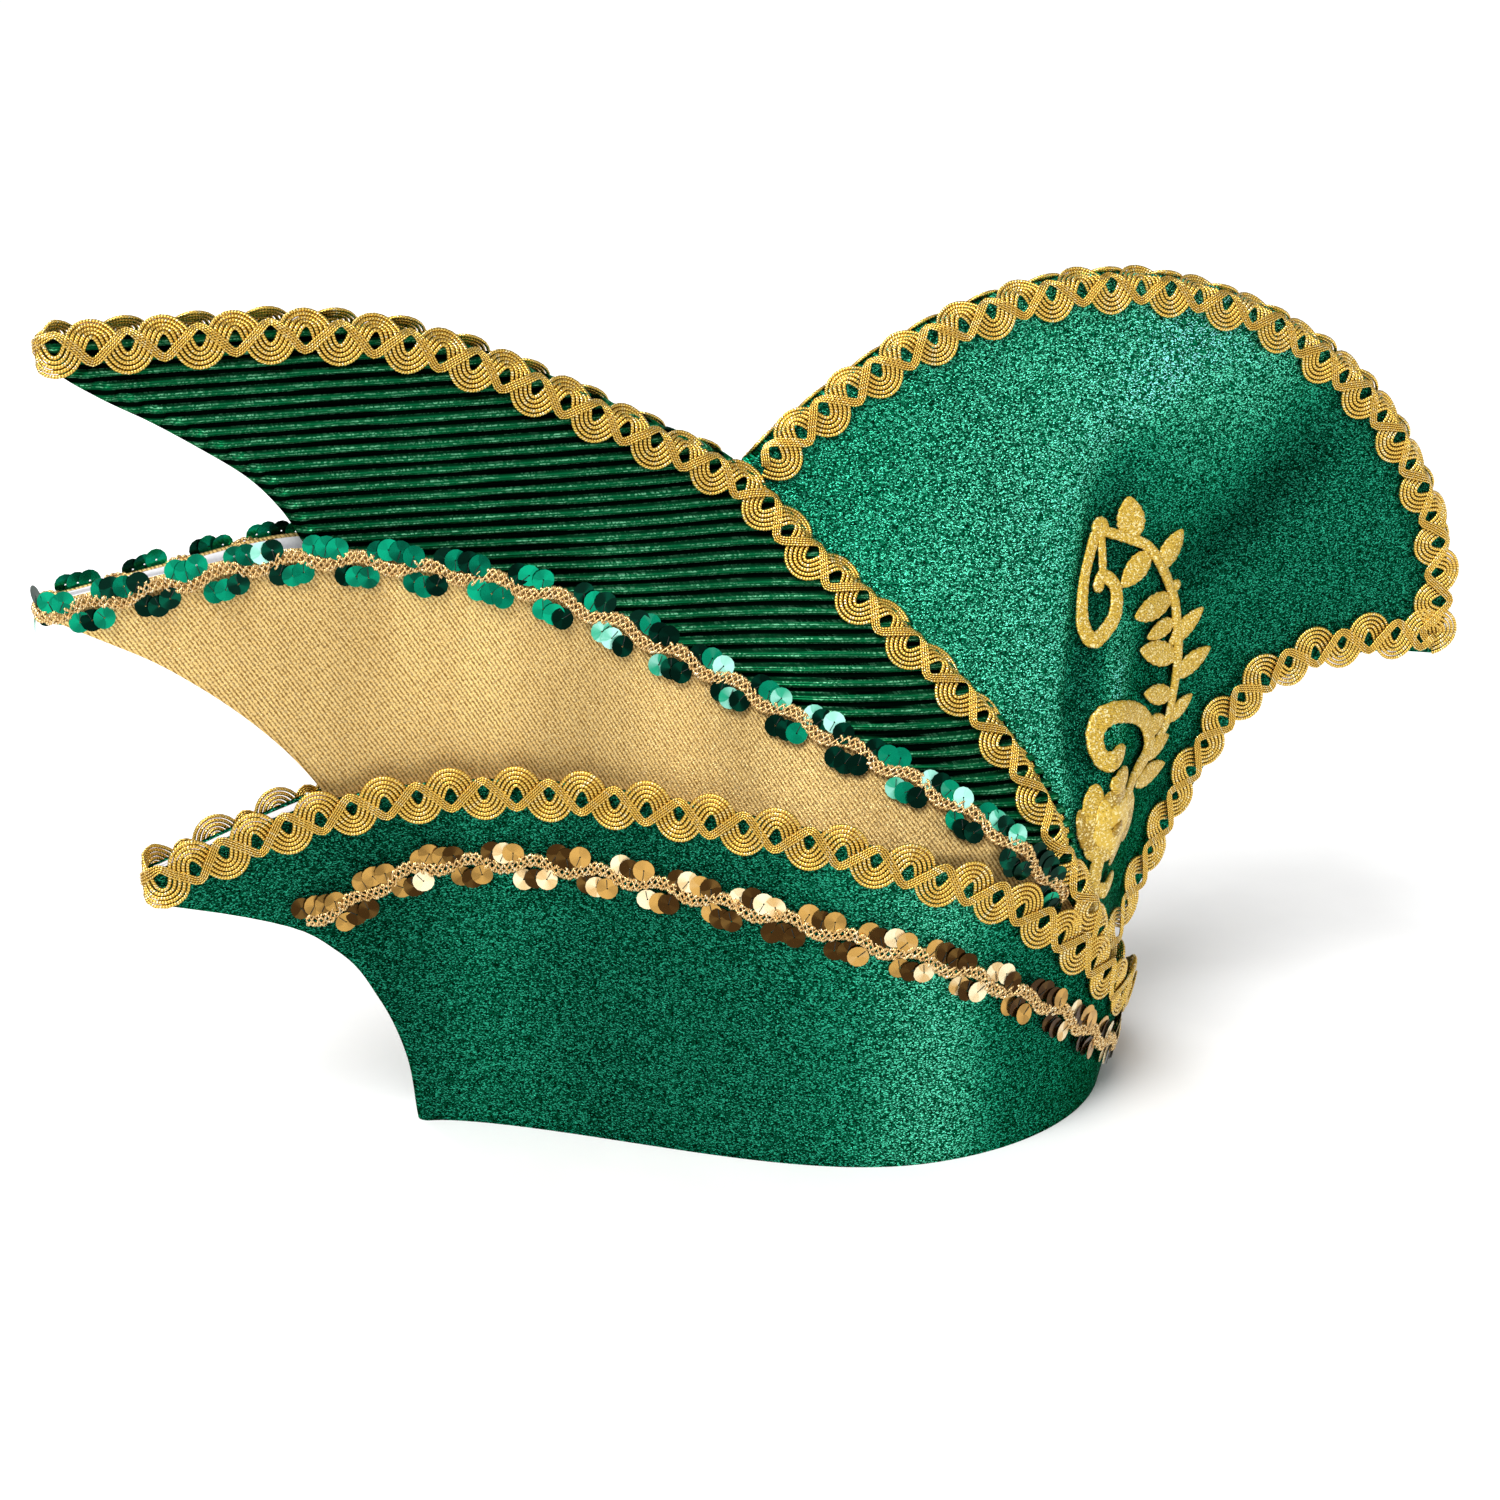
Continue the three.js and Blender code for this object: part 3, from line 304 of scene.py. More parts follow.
    def middle_half(self, x: Array, z: Array) -> Array:
        """Half-width of the second tier, kept inside the lowest one where they overlap."""
        tail_half, proud, taper = 4.5, 3.0, 1.8
        full = tail_half + (self.roof_half(x, z) + proud - tail_half) * self.rear_share(
            x, self.middle_rear(z), taper)
        room = self.inside_base(x, z) + np.maximum(0, z - self.base_edge(x)) * self.spread
        return lesser(full * self.front_share(x, z), room)

    def inside_middle(self, x: Array, z: Array) -> Array:
        """Half-width inside the second tier, with room at the front for the braid between both."""
        braid_room, room_from, room_to = 3.4, 25, 70
        depth = self.layer + self.seat + self.pleat_height + braid_room * smoothstep(x, room_from, room_to)
        return inside_of(self.middle_half, depth, x, z)

    def wing_half(self, x: Array, z: Array) -> Array:
        """Half-width of the pleated wing at the foot of its pleats."""
        tail_half, taper, closed_z = 3.0, 1.8, 179.0
        tail_x = self.wing_left(np.maximum(z, closed_z))
        full = tail_half + (self.roof_half(x, z) - tail_half) * self.rear_share(x, tail_x, taper)
        room = self.inside_middle(x, z) + np.maximum(0, z - self.middle_edge(x)) * self.spread
        return lesser(full * self.front_share(x, z), room)

    def crest_roof(self, x: Array, z: Array) -> Array:
        """Half-width of the crest's broad part, inside the wing."""
        return inside_of(self.wing_half, self.crest_depth, x, z)

    def crest_place(self, across: Array, up: Array) -> Array:
        """Places in the side view of the crest's panel, from rear to front edge and up to its arc."""
        a, u = across[:, None], up[:, None]
        ends = np.array([0.0, 1.0])
        sides = self.crest_low(across) * (1 - u) + self.crest_arc(across) * u
        sides = sides + self.crest_rear(up) * (1 - a) + self.crest_front(up) * a
        corners = (self.crest_low(ends), self.crest_arc(ends))
        low, high = (rear * (1 - a) + front * a for rear, front in corners)
        return sides - low * (1 - u) - high * u

    def crest_point(self, across: Array, up: Array) -> Array:
        """Points on the crest's right-hand panel, drawn in from the crease to the front edge."""
        foot_round, hollow_to, hollow_end, thinnest = 9, 0.45, 0.85, 2.2
        place = self.crest_place(across, up)
        crease = self.crest_place(np.full_like(up, self.crease), up)
        on_roof = self.crest_roof(place[:, 0], place[:, 1])
        t = np.clip((across - self.crease) / (1 - self.crease), 0, 1)
        crease_half = self.crest_roof(crease[:, 0], crease[:, 1])
        hollow = 1 + self.hollow * falling(up, hollow_to, hollow_end)
        straight = self.front_half + (crease_half - self.front_half) * (1 - t) ** hollow
        rounded = crease_half * np.sqrt(np.maximum(0, 1 - t * t)) + self.front_half * t
        drawn_in = straight + (rounded - straight) * (1 - up) ** foot_round
        half = np.where(across <= self.crease, on_roof, drawn_in)
        for fold in self.folds:
            half = half - fold(across, up)
        return np.stack([place[:, 0], -np.maximum(half, thinnest), place[:, 1]], axis=-1)

    def crest_outward(self, across: Array, up: Array) -> Array:
        """Outward directions of the crest's right-hand panel."""
        step = 0.004
        a, u = (np.clip(value, step, 1 - step) for value in (across, up))
        along = self.crest_point(a + step, u) - self.crest_point(a - step, u)
        rise = self.crest_point(a, u + step) - self.crest_point(a, u - step)
        return unit(np.cross(along, rise))

    def crest_shares(self, places: Array) -> tuple[Array, Array]:
        """Shares of the crest's panel at places in its side view, found by stepping towards them."""
        probe, rounds, least, most = 0.001, 15, 0.02, 0.98
        across, up = np.full(len(places), 0.5), np.full(len(places), 0.4)
        for _ in range(rounds):
            here = self.crest_place(across, up)
            right = (self.crest_place(across + probe, up) - here) / probe
            above = (self.crest_place(across, up + probe) - here) / probe
            off = places - here
            scale = right[:, 0] * above[:, 1] - right[:, 1] * above[:, 0]
            step = (off[:, 0] * above[:, 1] - off[:, 1] * above[:, 0]) / scale
            climb = (off[:, 1] * right[:, 0] - off[:, 0] * right[:, 1]) / scale
            across, up = np.clip(across + step, least, most), np.clip(up + climb, least, most)
        return across, up

    def on_side(self, half: HalfWidth, x: Array, z: Array) -> Array:
        """Points on the right-hand side of a half-width surface."""
        return np.stack([x, -half(x, z), z], axis=-1)

    def outward(self, half: HalfWidth, x: Array, z: Array) -> Array:
        """Outward directions there."""
        along_x, along_z = steepness(half, x, z)
        return unit(np.stack([-along_x, -np.ones_like(x), -along_z], axis=-1))


FORM = CapForm()
SHIFT_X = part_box("base_cover")[1].x / MM - FORM.tip_x


def to_row(points: Array) -> Array:
    """Millimetres of the cap's form as metres in the row frame."""
    return (points + np.array([SHIFT_X, 0.0, 0.0])) * MM


def mirrored(points: Array) -> Array:
    """Points or directions on the other side of the cap."""
    return points * np.array([1.0, -1.0, 1.0])


def add_panel(bm: bmesh.types.BMesh, columns: int, rows: int, place: Place) -> None:
    """Adds a grid to a mesh and lays it on a surface.

    Args:
        bm: The mesh, in millimetres.
        columns: Faces along the grid's first share.
        rows: Faces along its second share.
        place: Gives the points for arrays of both shares.
    """
    made = bmesh.ops.create_grid(bm, x_segments=columns, y_segments=rows, size=1.0)["verts"]
    shares = np.round((np.array([vert.co for vert in made], float) + 1) / 2, 6)
    for vert, point in zip(made, place(shares[:, 0], shares[:, 1])):
        vert.co = point


def close_sides(bm: bmesh.types.BMesh) -> None:
    """Welds the right-hand half, adds its mirror image and turns all faces outwards."""
    weld, seam = 0.02, 0.05
    bmesh.ops.remove_doubles(bm, verts=bm.verts[:], dist=weld)
    bmesh.ops.mirror(bm, geom=bm.verts[:] + bm.edges[:] + bm.faces[:], axis="Y", merge_dist=seam)
    bmesh.ops.recalc_face_normals(bm, faces=bm.faces[:])
    rightmost = min(bm.faces, key=lambda face: face.calc_center_median().y)
    if rightmost.normal.y > 0:
        bmesh.ops.reverse_faces(bm, faces=bm.faces[:])


def nose_round(line: Array, bulge: float) -> Place:
    """Half of a rounded strip that joins both sides along a right-hand line.

    Args:
        line: The line's points, in order, with the strip on the left of its run in the side view.
        bulge: How far the strip stands out on the middle plane.

    Returns:
        The strip's points by share along the line and share of the way to the middle plane.
    """
    run = np.gradient(line[:, [0, 2]], axis=0)
    out = unit(np.stack([-run[:, 1], np.zeros(len(run)), run[:, 0]], axis=-1))
    out[line[:, 2] < 1e-6] = (-1.0, 0.0, 0.0)

    def place(along: Array, turn: Array) -> Array:
        """Points of the strip."""
        i = np.round(along * (len(line) - 1)).astype(int)
        angle = turn * np.pi / 2
        points = line[i] + out[i] * (bulge * np.sin(angle))[:, None]
        points[:, 1] = line[i, 1] * np.cos(angle)
        points[turn > 1 - 1e-5, 1] = 0.0
        return points

    return place


def mesh_from(bm: bmesh.types.BMesh, name: str) -> bpy.types.Mesh:
    """Turns a mesh in millimetres into a shaded mesh in the row frame."""
    mesh = bpy.data.meshes.new(name)
    bm.to_mesh(mesh)
    bm.free()
    points = np.empty(len(mesh.vertices) * 3, np.float32)
    mesh.vertices.foreach_get("co", points)
    mesh.vertices.foreach_set("co", to_row(points.reshape(-1, 3)).astype(np.float32).ravel())
    mesh.shade_smooth()
    mesh.update()
    return mesh


def form_points(mesh: bpy.types.Mesh) -> Array:
    """A mesh's points in millimetres of the cap's form."""
    points = np.empty(len(mesh.vertices) * 3, np.float32)
    mesh.vertices.foreach_get("co", points)
    return points.reshape(-1, 3) / MM - np.array([SHIFT_X, 0.0, 0.0])


def write_map(mesh: bpy.types.Mesh, uv: Array) -> None:
    """Lays a UV map over a mesh, a row for each point."""
    corners = np.empty(len(mesh.loops), np.int32)
    mesh.loops.foreach_get("vertex_index", corners)
    layer = mesh.uv_layers.new(name=CLOTH_MAP)
    layer.uv.foreach_set("vector", uv[corners].astype(np.float32).ravel())


def write_values(mesh: bpy.types.Mesh, name: str, values: Array) -> None:
    """Writes an attribute of a mesh, a number for each point."""
    made = mesh.attributes.new(name, "FLOAT", "POINT")
    made.data.foreach_set("value", values.astype(np.float32))


def tube_faces(count: int, sides: int, closed: bool) -> list[list[int]]:
    """Faces of a tube.

    Args:
        count: Number of its rings.
        sides: Number of points in each ring.
        closed: Whether it joins its own start; an open one has a face at each end.

    Returns:
        The faces, as numbers of its points ring by ring.
    """
    faces = []
    for i in range(count if closed else count - 1):
        here, there = i * sides, (i + 1) % count * sides
        for k in range(sides):
            n = (k + 1) % sides
            faces.append([here + k, here + n, there + n, there + k])
    if not closed:
        faces.append(list(range(sides))[::-1])
        faces.append(list(range((count - 1) * sides, count * sides)))
    return faces


def add_object(name: str, data: bpy.types.ID) -> bpy.types.Object:
    """Adds an object to the scene."""
    made = bpy.data.objects.new(name, data)
    bpy.context.scene.collection.objects.link(made)
    return made


def add_piece(mesh: bpy.types.Mesh, slot: str, node: str,
              *finishes: bpy.types.Material) -> bpy.types.Object:
    """Makes a mesh a piece of the cap.

    Args:
        mesh: The finished mesh; its name is the piece's.
        slot: The record's material slot; it is not used.
        node: The CAD node that the piece stands for.
        finishes: Materials in the order of the mesh's material indices.

    Returns:
        The piece.
    """
    for finish in finishes:
        mesh.materials.append(finish)
    piece = add_object(mesh.name, mesh)
    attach(piece, BODY)
    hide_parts(node)
    log.info("%s: %d faces", piece.name, len(mesh.polygons))
    return piece


def add_wall(piece: bpy.types.Object, thickness: float) -> None:
    """Gives an open skin a wall that grows inwards."""
    wall = piece.modifiers.new("wall", "SOLIDIFY")
    wall.thickness = thickness * MM
    wall.offset = -1
    wall.use_even_offset = False


class NodeKit:
    """Short ways to add and join shader nodes in one tree."""

    def __init__(self, tree: bpy.types.NodeTree) -> None:
        """Keeps the tree."""
        self.tree = tree

    def add(self, kind: str, **settings: object) -> bpy.types.Node:
        """Adds a node with its settings."""
        node = self.tree.nodes.new(kind)
        for name, value in settings.items():
            setattr(node, name, value)
        return node

    def feed(self, socket: bpy.types.NodeSocket, value: object) -> None:
        """Links a socket to another one, or sets its value."""
        if isinstance(value, bpy.types.NodeSocket):
            self.tree.links.new(value, socket)
        else:
            socket.default_value = value

    def dress(self, shader: bpy.types.Node, **looks: object) -> None:
        """Feeds a shader's sockets, named with underscores."""
        for name, value in looks.items():
            self.feed(shader.inputs[name.replace("_", " ")], value)

    def cloth(self) -> bpy.types.NodeSocket:
        """Gives the map that lies over each piece."""
        return self.add("ShaderNodeUVMap", uv_map=CLOTH_MAP).outputs[0]

    def attribute(self, name: str) -> bpy.types.NodeSocket:
        """Gives the number that a mesh attribute holds."""
        return self.add("ShaderNodeAttribute", attribute_name=name).outputs["Fac"]

    def math(self, operation: str, *values: object, clamp: bool = False) -> bpy.types.NodeSocket:
        """Adds a Math node on values or sockets and returns its result."""
        node = self.add("ShaderNodeMath", operation=operation, use_clamp=clamp)
        for socket, value in zip(node.inputs, values):
            self.feed(socket, value)
        return node.outputs[0]

    def scaled(self, vector: bpy.types.NodeSocket, scale: Rgb, turn: float = 0.0) -> bpy.types.NodeSocket:
        """Turns a map about z and then scales it."""
        node = self.add("ShaderNodeMapping", vector_type="POINT")
        node.inputs["Rotation"].default_value = (0.0, 0.0, turn)
        self.feed(node.inputs["Vector"], vector)
        stretch = self.add("ShaderNodeVectorMath", operation="MULTIPLY")
        self.feed(stretch.inputs[0], node.outputs[0])
        stretch.inputs[1].default_value = scale
        return stretch.outputs[0]

    def noise(self, vector: bpy.types.NodeSocket, scale: float,
              detail: float = 2.0) -> bpy.types.NodeSocket:
        """Adds a noise and returns its value."""
        node = self.add("ShaderNodeTexNoise", noise_dimensions="3D")
        self.feed(node.inputs["Vector"], vector)
        node.inputs["Scale"].default_value = scale
        node.inputs["Detail"].default_value = detail
        return node.outputs["Fac"]

    def cells(self, vector: bpy.types.NodeSocket, scale: float) -> bpy.types.NodeSocket:
        """Adds a random value for each small cell of a map."""
        node = self.add("ShaderNodeTexVoronoi", feature="F1", voronoi_dimensions="2D")
        self.feed(node.inputs["Vector"], vector)
        node.inputs["Scale"].default_value = scale
        split = self.add("ShaderNodeSeparateColor")
        self.feed(split.inputs[0], node.outputs["Color"])
        return split.outputs[0]

    def ripple(self, value: object, pitch: float) -> bpy.types.NodeSocket:
        """Adds a wave between 0 and 1 along a value."""
        turn = self.math("MULTIPLY", value, 2 * math.pi / pitch)
        return self.math("MULTIPLY_ADD", self.math("SINE", turn), 0.5, 0.5)

    def split(self, vector: bpy.types.NodeSocket) -> tuple[bpy.types.NodeSocket, bpy.types.NodeSocket]:
        """Gives the first two numbers of a map."""
        node = self.add("ShaderNodeSeparateXYZ")
        self.feed(node.inputs[0], vector)
        return node.outputs[0], node.outputs[1]

    def span(self, value: object, low: float, high: float, to_low: float = 0.0,
             to_high: float = 1.0) -> bpy.types.NodeSocket:
        """Maps a range of values smoothly onto another."""
        node = self.add("ShaderNodeMapRange", interpolation_type="SMOOTHSTEP")
        for socket, number in zip(node.inputs, (value, low, high, to_low, to_high)):
            self.feed(socket, number)
        return node.outputs[0]

    def blend(self, share: object, one: object, other: object, kind: str = "MIX") -> bpy.types.NodeSocket:
        """Mixes two colours by a share."""
        node = self.add("ShaderNodeMix", data_type="RGBA", blend_type=kind, clamp_result=True)
        self.feed(node.inputs["Factor"], share)
        for socket, colour in ((node.inputs[6], one), (node.inputs[7], other)):
            self.feed(socket, (*colour, 1.0) if isinstance(colour, tuple) else colour)
        return node.outputs[2]

    def bump(self, height: bpy.types.NodeSocket, strength: float, distance: float) -> bpy.types.NodeSocket:
        """Turns a height into a normal."""
        node = self.add("ShaderNodeBump")
        node.inputs["Strength"].default_value = strength
        node.inputs["Distance"].default_value = distance
        self.feed(node.inputs["Height"], height)
        return node.outputs[0]


def new_finish(name: str, **constants: object) -> tuple[bpy.types.Material, NodeKit, bpy.types.Node]:
    """Starts a material with one surface shader.

    Args:
        name: The material's name.
        constants: Values that are the same all over, by socket name with underscores.

    Returns:
        The material, its node kit and its shader.
    """
    material = bpy.data.materials.new(name)
    material.use_nodes = True
    kit = NodeKit(material.node_tree)
    shader = material.node_tree.nodes["Principled BSDF"]
    kit.dress(shader, **constants)
    return material, kit, shader


def new_group(name: str, *outputs: str) -> tuple[NodeKit, bpy.types.NodeSocket, bpy.types.Node]:
    """Starts a node group that turns a map into numbers.

    Args:
        name: The group's name.
        outputs: The names of its numbers.

    Returns:
        The group's node kit, its map and its last node.
    """
    group = bpy.data.node_groups.new(name, "ShaderNodeTree")
    group.interface.new_socket("Map", in_out="INPUT", socket_type="NodeSocketVector")
    for output in outputs:
        group.interface.new_socket(output, in_out="OUTPUT", socket_type="NodeSocketFloat")
    kit = NodeKit(group)
    return kit, kit.add("NodeGroupInput").outputs[0], kit.add("NodeGroupOutput")


@cache
def fleck_group() -> bpy.types.NodeTree:
    """Shared weave of short metallic flecks on two diagonals, with sparkles.

    Returns:
        A node group from a map in millimetres to flecks, sparkles and height.
    """
    turn, fine_scale, fine_share = math.radians(38), 2.6, 0.5
    kit, cloth, leave = new_group("fleck_weave", "Flecks", "Sparkles", "Height")
    rising = kit.noise(kit.scaled(cloth, (1.25, 3.3, 1.0), turn), 1.0, 1.0)
    dipping = kit.noise(kit.scaled(cloth, (1.2, 3.1, 1.0), -turn), 1.0, 1.0)
    crossing = kit.math("MAXIMUM", rising, dipping)
    fine = kit.cells(cloth, fine_scale)
    flecks = kit.span(kit.math("MULTIPLY_ADD", fine, fine_share, crossing), 0.58, 1.05)
    sparkle = kit.span(kit.cells(kit.scaled(cloth, (2.3, 3.8, 1.0)), 1.0), 0.62, 0.98)
    kit.dress(leave, Flecks=flecks, Sparkles=sparkle, Height=crossing)
    return kit.tree


@cache
def twist_group() -> bpy.types.NodeTree:
    """Shared look of twisted metal thread.

    Returns:
        A node group from a map of length and turn to twist ridges and glints.
    """
    pitch = 0.9
    kit, run, leave = new_group("thread_twist", "Ridges", "Glints")
    length, around = kit.split(run)
    turn = kit.math("MULTIPLY", around, 2 * math.pi)
    phase = kit.math("MULTIPLY_ADD", length, 2 * math.pi / pitch, turn)
    ridges = kit.math("MULTIPLY_ADD", kit.math("SINE", phase), 0.5, 0.5)
    kit.dress(leave, Ridges=ridges, Glints=kit.cells(kit.scaled(run, (1.6, 5.0, 1.0)), 1.0))
    return kit.tree


@dataclass(frozen=True)
class LameFinish:
    """Cloth woven with flat metal thread."""

    name: str
    deep: Rgb
    main: Rgb
    # bright is the colour of painted glints on the sparkling flecks; pale is their painted highlight where
    # the sheen attribute is high.
    bright: Rgb
    pale: Rgb
    edge: Rgb
    metal: float
    rough: float
    twill: float
    glitter: float
    dark_to: float = 0.0
    light_from: float = 1.0

    @cache
    def material(self) -> bpy.types.Material:
        """Builds the cloth's material on its map in millimetres."""
        material, kit, shader = new_finish(self.name, Metallic=self.metal, Specular_IOR_Level=0.0,
                                           Specular_Tint=(*self.edge, 1.0))
        cloth = kit.cloth()
        slant, dot_pitch, line_pitch = math.radians(-33), 1.5, 1.17
        cloud_scale, cloud_share, polish = (0.03, 0.007, 1.0), 0.3, -0.2
        sheen_gain, sheen_base = 1.5, 1.06
        weave = kit.add("ShaderNodeGroup", node_tree=fleck_group())
        kit.feed(weave.inputs[0], cloth)
        flecks, sparkles, height = weave.outputs
        across, along = kit.split(kit.scaled(cloth, (1.0, 1.0, 1.0), slant))
        dots = kit.math("MULTIPLY_ADD", kit.ripple(along, dot_pitch), 0.4, 0.6)
        lines = kit.math("MULTIPLY", kit.ripple(across, line_pitch), dots)
        weft = kit.math("MULTIPLY_ADD", lines, self.twill, kit.math("MULTIPLY", flecks, 1.0 - self.twill))
        share = kit.span(weft, self.dark_to, self.light_from)
        cloud = kit.noise(kit.scaled(cloth, cloud_scale), 1.0, 2.0)
        body = kit.blend(share, self.deep, self.main)
        shaded = kit.blend(kit.span(cloud, 0.3, 0.7, to_high=cloud_share), body, self.deep)
        # Painted light and shade: the sheen attribute turns the glints pale and makes the whole colour
        # lighter where positive, darker where negative.
        sheen = kit.attribute(SHEEN)
        glint = kit.blend(kit.span(sheen, 0.1, 1.2), self.bright, self.pale)
        # Painted glints on the sparkling flecks.
        shining = kit.blend(kit.math("MULTIPLY", sparkles, self.glitter), shaded, glint)
        level = kit.math("MULTIPLY_ADD", sheen, sheen_gain, sheen_base)
        lit = kit.blend(1.0, shining, level, "MULTIPLY")
        roughness = kit.math("MULTIPLY_ADD", sparkles, polish, self.rough)
        kit.dress(shader, Base_Color=lit, Roughness=roughness, Normal=kit.bump(height, 0.8, 0.0005))
        return material


@dataclass(frozen=True)
class PleatFinish:
    """Ribbed satin: ribs of a few threads with painted glints, and deep grooves painted near black as
    shade.
    """

    name: str = "cloth_pleated_satin"
    # Painted shade that fills the grooves between the ribs.
    groove_shade: Rgb = (0.0002, 0.0025, 0.0012)
    rib: Rgb = (0.003, 0.14, 0.045)
    # Painted glints on the ribs' threads.
    glint: Rgb = (0.2, 0.64, 0.36)

    @cache
    def material(self) -> bpy.types.Material:
        """Builds the satin on a map of millimetres along and pleats up."""
        material, kit, shader = new_finish(self.name, Metallic=0.6, Roughness=0.36, Specular_IOR_Level=0.0,
                                           Specular_Tint=(0.02, 0.3, 0.12, 1.0))
        cloth = kit.cloth()
        phase = kit.math("FRACT", kit.split(cloth)[1])
        rise = kit.span(phase, 0.02, 0.16)
        fall = kit.span(phase, 0.56, 0.7, 1.0, 0.0)
        rib = kit.math("MULTIPLY", rise, fall)
        thread_turns, streak_scale, dash_scale = 30.0, (0.12, 5.0, 1.0), (2.0, 9.0, 1.0)
        turned = kit.math("SINE", kit.math("MULTIPLY", phase, thread_turns))
        threads = kit.math("MULTIPLY_ADD", turned, 0.5, 0.5)
        streaks = kit.noise(kit.scaled(cloth, streak_scale), 1.0, 2.0)
        dashes = kit.cells(kit.scaled(cloth, dash_scale), 1.0)
        glints = kit.math("MULTIPLY", kit.span(streaks, 0.38, 0.6), kit.span(dashes, 0.35, 0.9))
        # Painted shade: off the ribs the colour falls to the near black of the grooves.
        tone = kit.math("MULTIPLY", rib, kit.math("MULTIPLY_ADD", threads, 0.55, 0.45))
        body = kit.blend(tone, self.groove_shade, self.rib)
        # Painted glints: short bright dashes on the ribs' threads.
        bright = kit.math("MULTIPLY", kit.math("MULTIPLY", glints, rib), threads)
        kit.dress(shader, Base_Color=kit.blend(bright, body, self.glint),
                  Normal=kit.bump(kit.math("MULTIPLY", threads, rib), 0.5, 0.0003))
        return material


@dataclass(frozen=True)
class ThreadFinish:
    """Twisted or laid metal thread on a map of length and turn."""

    name: str
    # deep is the painted shade in the twist's grooves; bright is the painted glints on its ridges.
    deep: Rgb
    main: Rgb
    bright: Rgb
    metal: float = 0.8
    rough: float = 0.36

    @cache
    def material(self) -> bpy.types.Material:
        """Builds the thread's material."""
        material, kit, shader = new_finish(self.name, Metallic=self.metal)
        run = kit.cloth()
        twist = kit.add("ShaderNodeGroup", node_tree=twist_group())
        kit.feed(twist.inputs[0], run)
        ridges, glints = twist.outputs
        # Painted shade: darker where the twist's ridges fall away.
        body = kit.blend(kit.span(ridges, 0.1, 0.8), self.deep, self.main)
        # Painted glints on the twist's ridges.
        bright = kit.math("MULTIPLY", kit.span(glints, 0.72, 0.95), ridges)
        kit.dress(shader, Base_Color=kit.blend(bright, body, self.bright),
                  Roughness=kit.math("MULTIPLY_ADD", glints, -0.14, self.rough + 0.05),
                  Normal=kit.bump(ridges, 0.4, 0.0002))
        return material


@dataclass(frozen=True)
class SequinFinish:
    """Mirror-bright film; a tone in a mesh attribute paints each disc's reflection dark, plain or pale."""

    name: str
    # deep and bright are the painted dark and pale reflections; main is the film's own colour.
    deep: Rgb
    main: Rgb
    bright: Rgb

    @cache
    def material(self) -> bpy.types.Material:
        """Builds the film, with painted highlight sectors, lighter and darker by turns round each disc."""
        material, kit, shader = new_finish(self.name, Specular_IOR_Level=0.2)
        # Each disc's tone of painted reflection.
        own = kit.attribute(TONE)
        disc = kit.cloth()
        # Painted highlight sectors round each disc.
        sectors = kit.ripple(kit.split(disc)[1], math.pi)
        contrast = 0.18
        tone = kit.math("ADD", own, kit.math("MULTIPLY_ADD", sectors, contrast, -contrast / 2))
        # Painted reflection: a dark tone takes the deep colour, a pale one the bright colour.
        body = kit.blend(kit.span(tone, 0.05, 0.6), self.deep, self.main)
        kit.dress(shader, Base_Color=kit.blend(kit.span(tone, 0.62, 1.0), body, self.bright),
                  Metallic=kit.span(own, 0.5, 0.85, 0.85, 0.3),
                  Roughness=kit.math("MULTIPLY_ADD", kit.noise(disc, 1.4), 0.12, 0.14))
        return material


@dataclass(frozen=True)
class EmbroideryFinish:
    """Glittering gold embroidery of short stitches."""

    name: str = "thread_gold_embroidery"
    deep: Rgb = (0.34, 0.19, 0.015)
    main: Rgb = (0.8, 0.54, 0.07)
    # bright is the colour of the painted glints.
    bright: Rgb = (1.0, 0.86, 0.42)

    @cache
    def material(self) -> bpy.types.Material:
        """Builds the embroidery on a map in millimetres."""
        material, kit, shader = new_finish(self.name, Metallic=0.55)
        cloth = kit.cloth()
        grain_scale, stitch_scale, slant, stitch_size = 2.2, (0.8, 3.0, 1.0), math.radians(20), 1.2
        grain = kit.cells(cloth, grain_scale)
        stitches = kit.noise(kit.scaled(cloth, stitch_scale, slant), stitch_size, 2.0)
        own = kit.attribute(TONE)
        own_gain = 0.36
        toned = kit.math("MULTIPLY_ADD", own, own_gain, kit.math("SUBTRACT", stitches, own_gain / 2))
        body = kit.blend(kit.span(toned, 0.32, 0.62), self.deep, self.main)
        height = kit.math("ADD", stitches, kit.math("MULTIPLY", grain, 0.5))
        # Painted glints: the brightest cells of the grain take the bright colour.
        kit.dress(shader, Base_Color=kit.blend(kit.span(grain, 0.7, 0.97), body, self.bright),
                  Roughness=kit.math("MULTIPLY_ADD", grain, -0.2, 0.55),
                  Normal=kit.bump(height, 0.7, 0.0004))
        return material


@dataclass(frozen=True)
class PlainFinish:
    """A matt surface with a faint grain on Object coordinates."""

    name: str
    main: Rgb
    deep: Rgb
    rough: float
    grain: float

    @cache
    def material(self) -> bpy.types.Material:
        """Builds the surface."""
        material, kit, shader = new_finish(self.name)
        place = kit.add("ShaderNodeTexCoord").outputs["Object"]
        speck = kit.noise(place, self.grain, 4.0)
        kit.dress(shader, Base_Color=kit.blend(kit.span(speck, 0.3, 0.7), self.deep, self.main),
                  Roughness=kit.math("MULTIPLY_ADD", speck, 0.1, self.rough),
                  Normal=kit.bump(speck, 0.15, 0.0003))
        return material


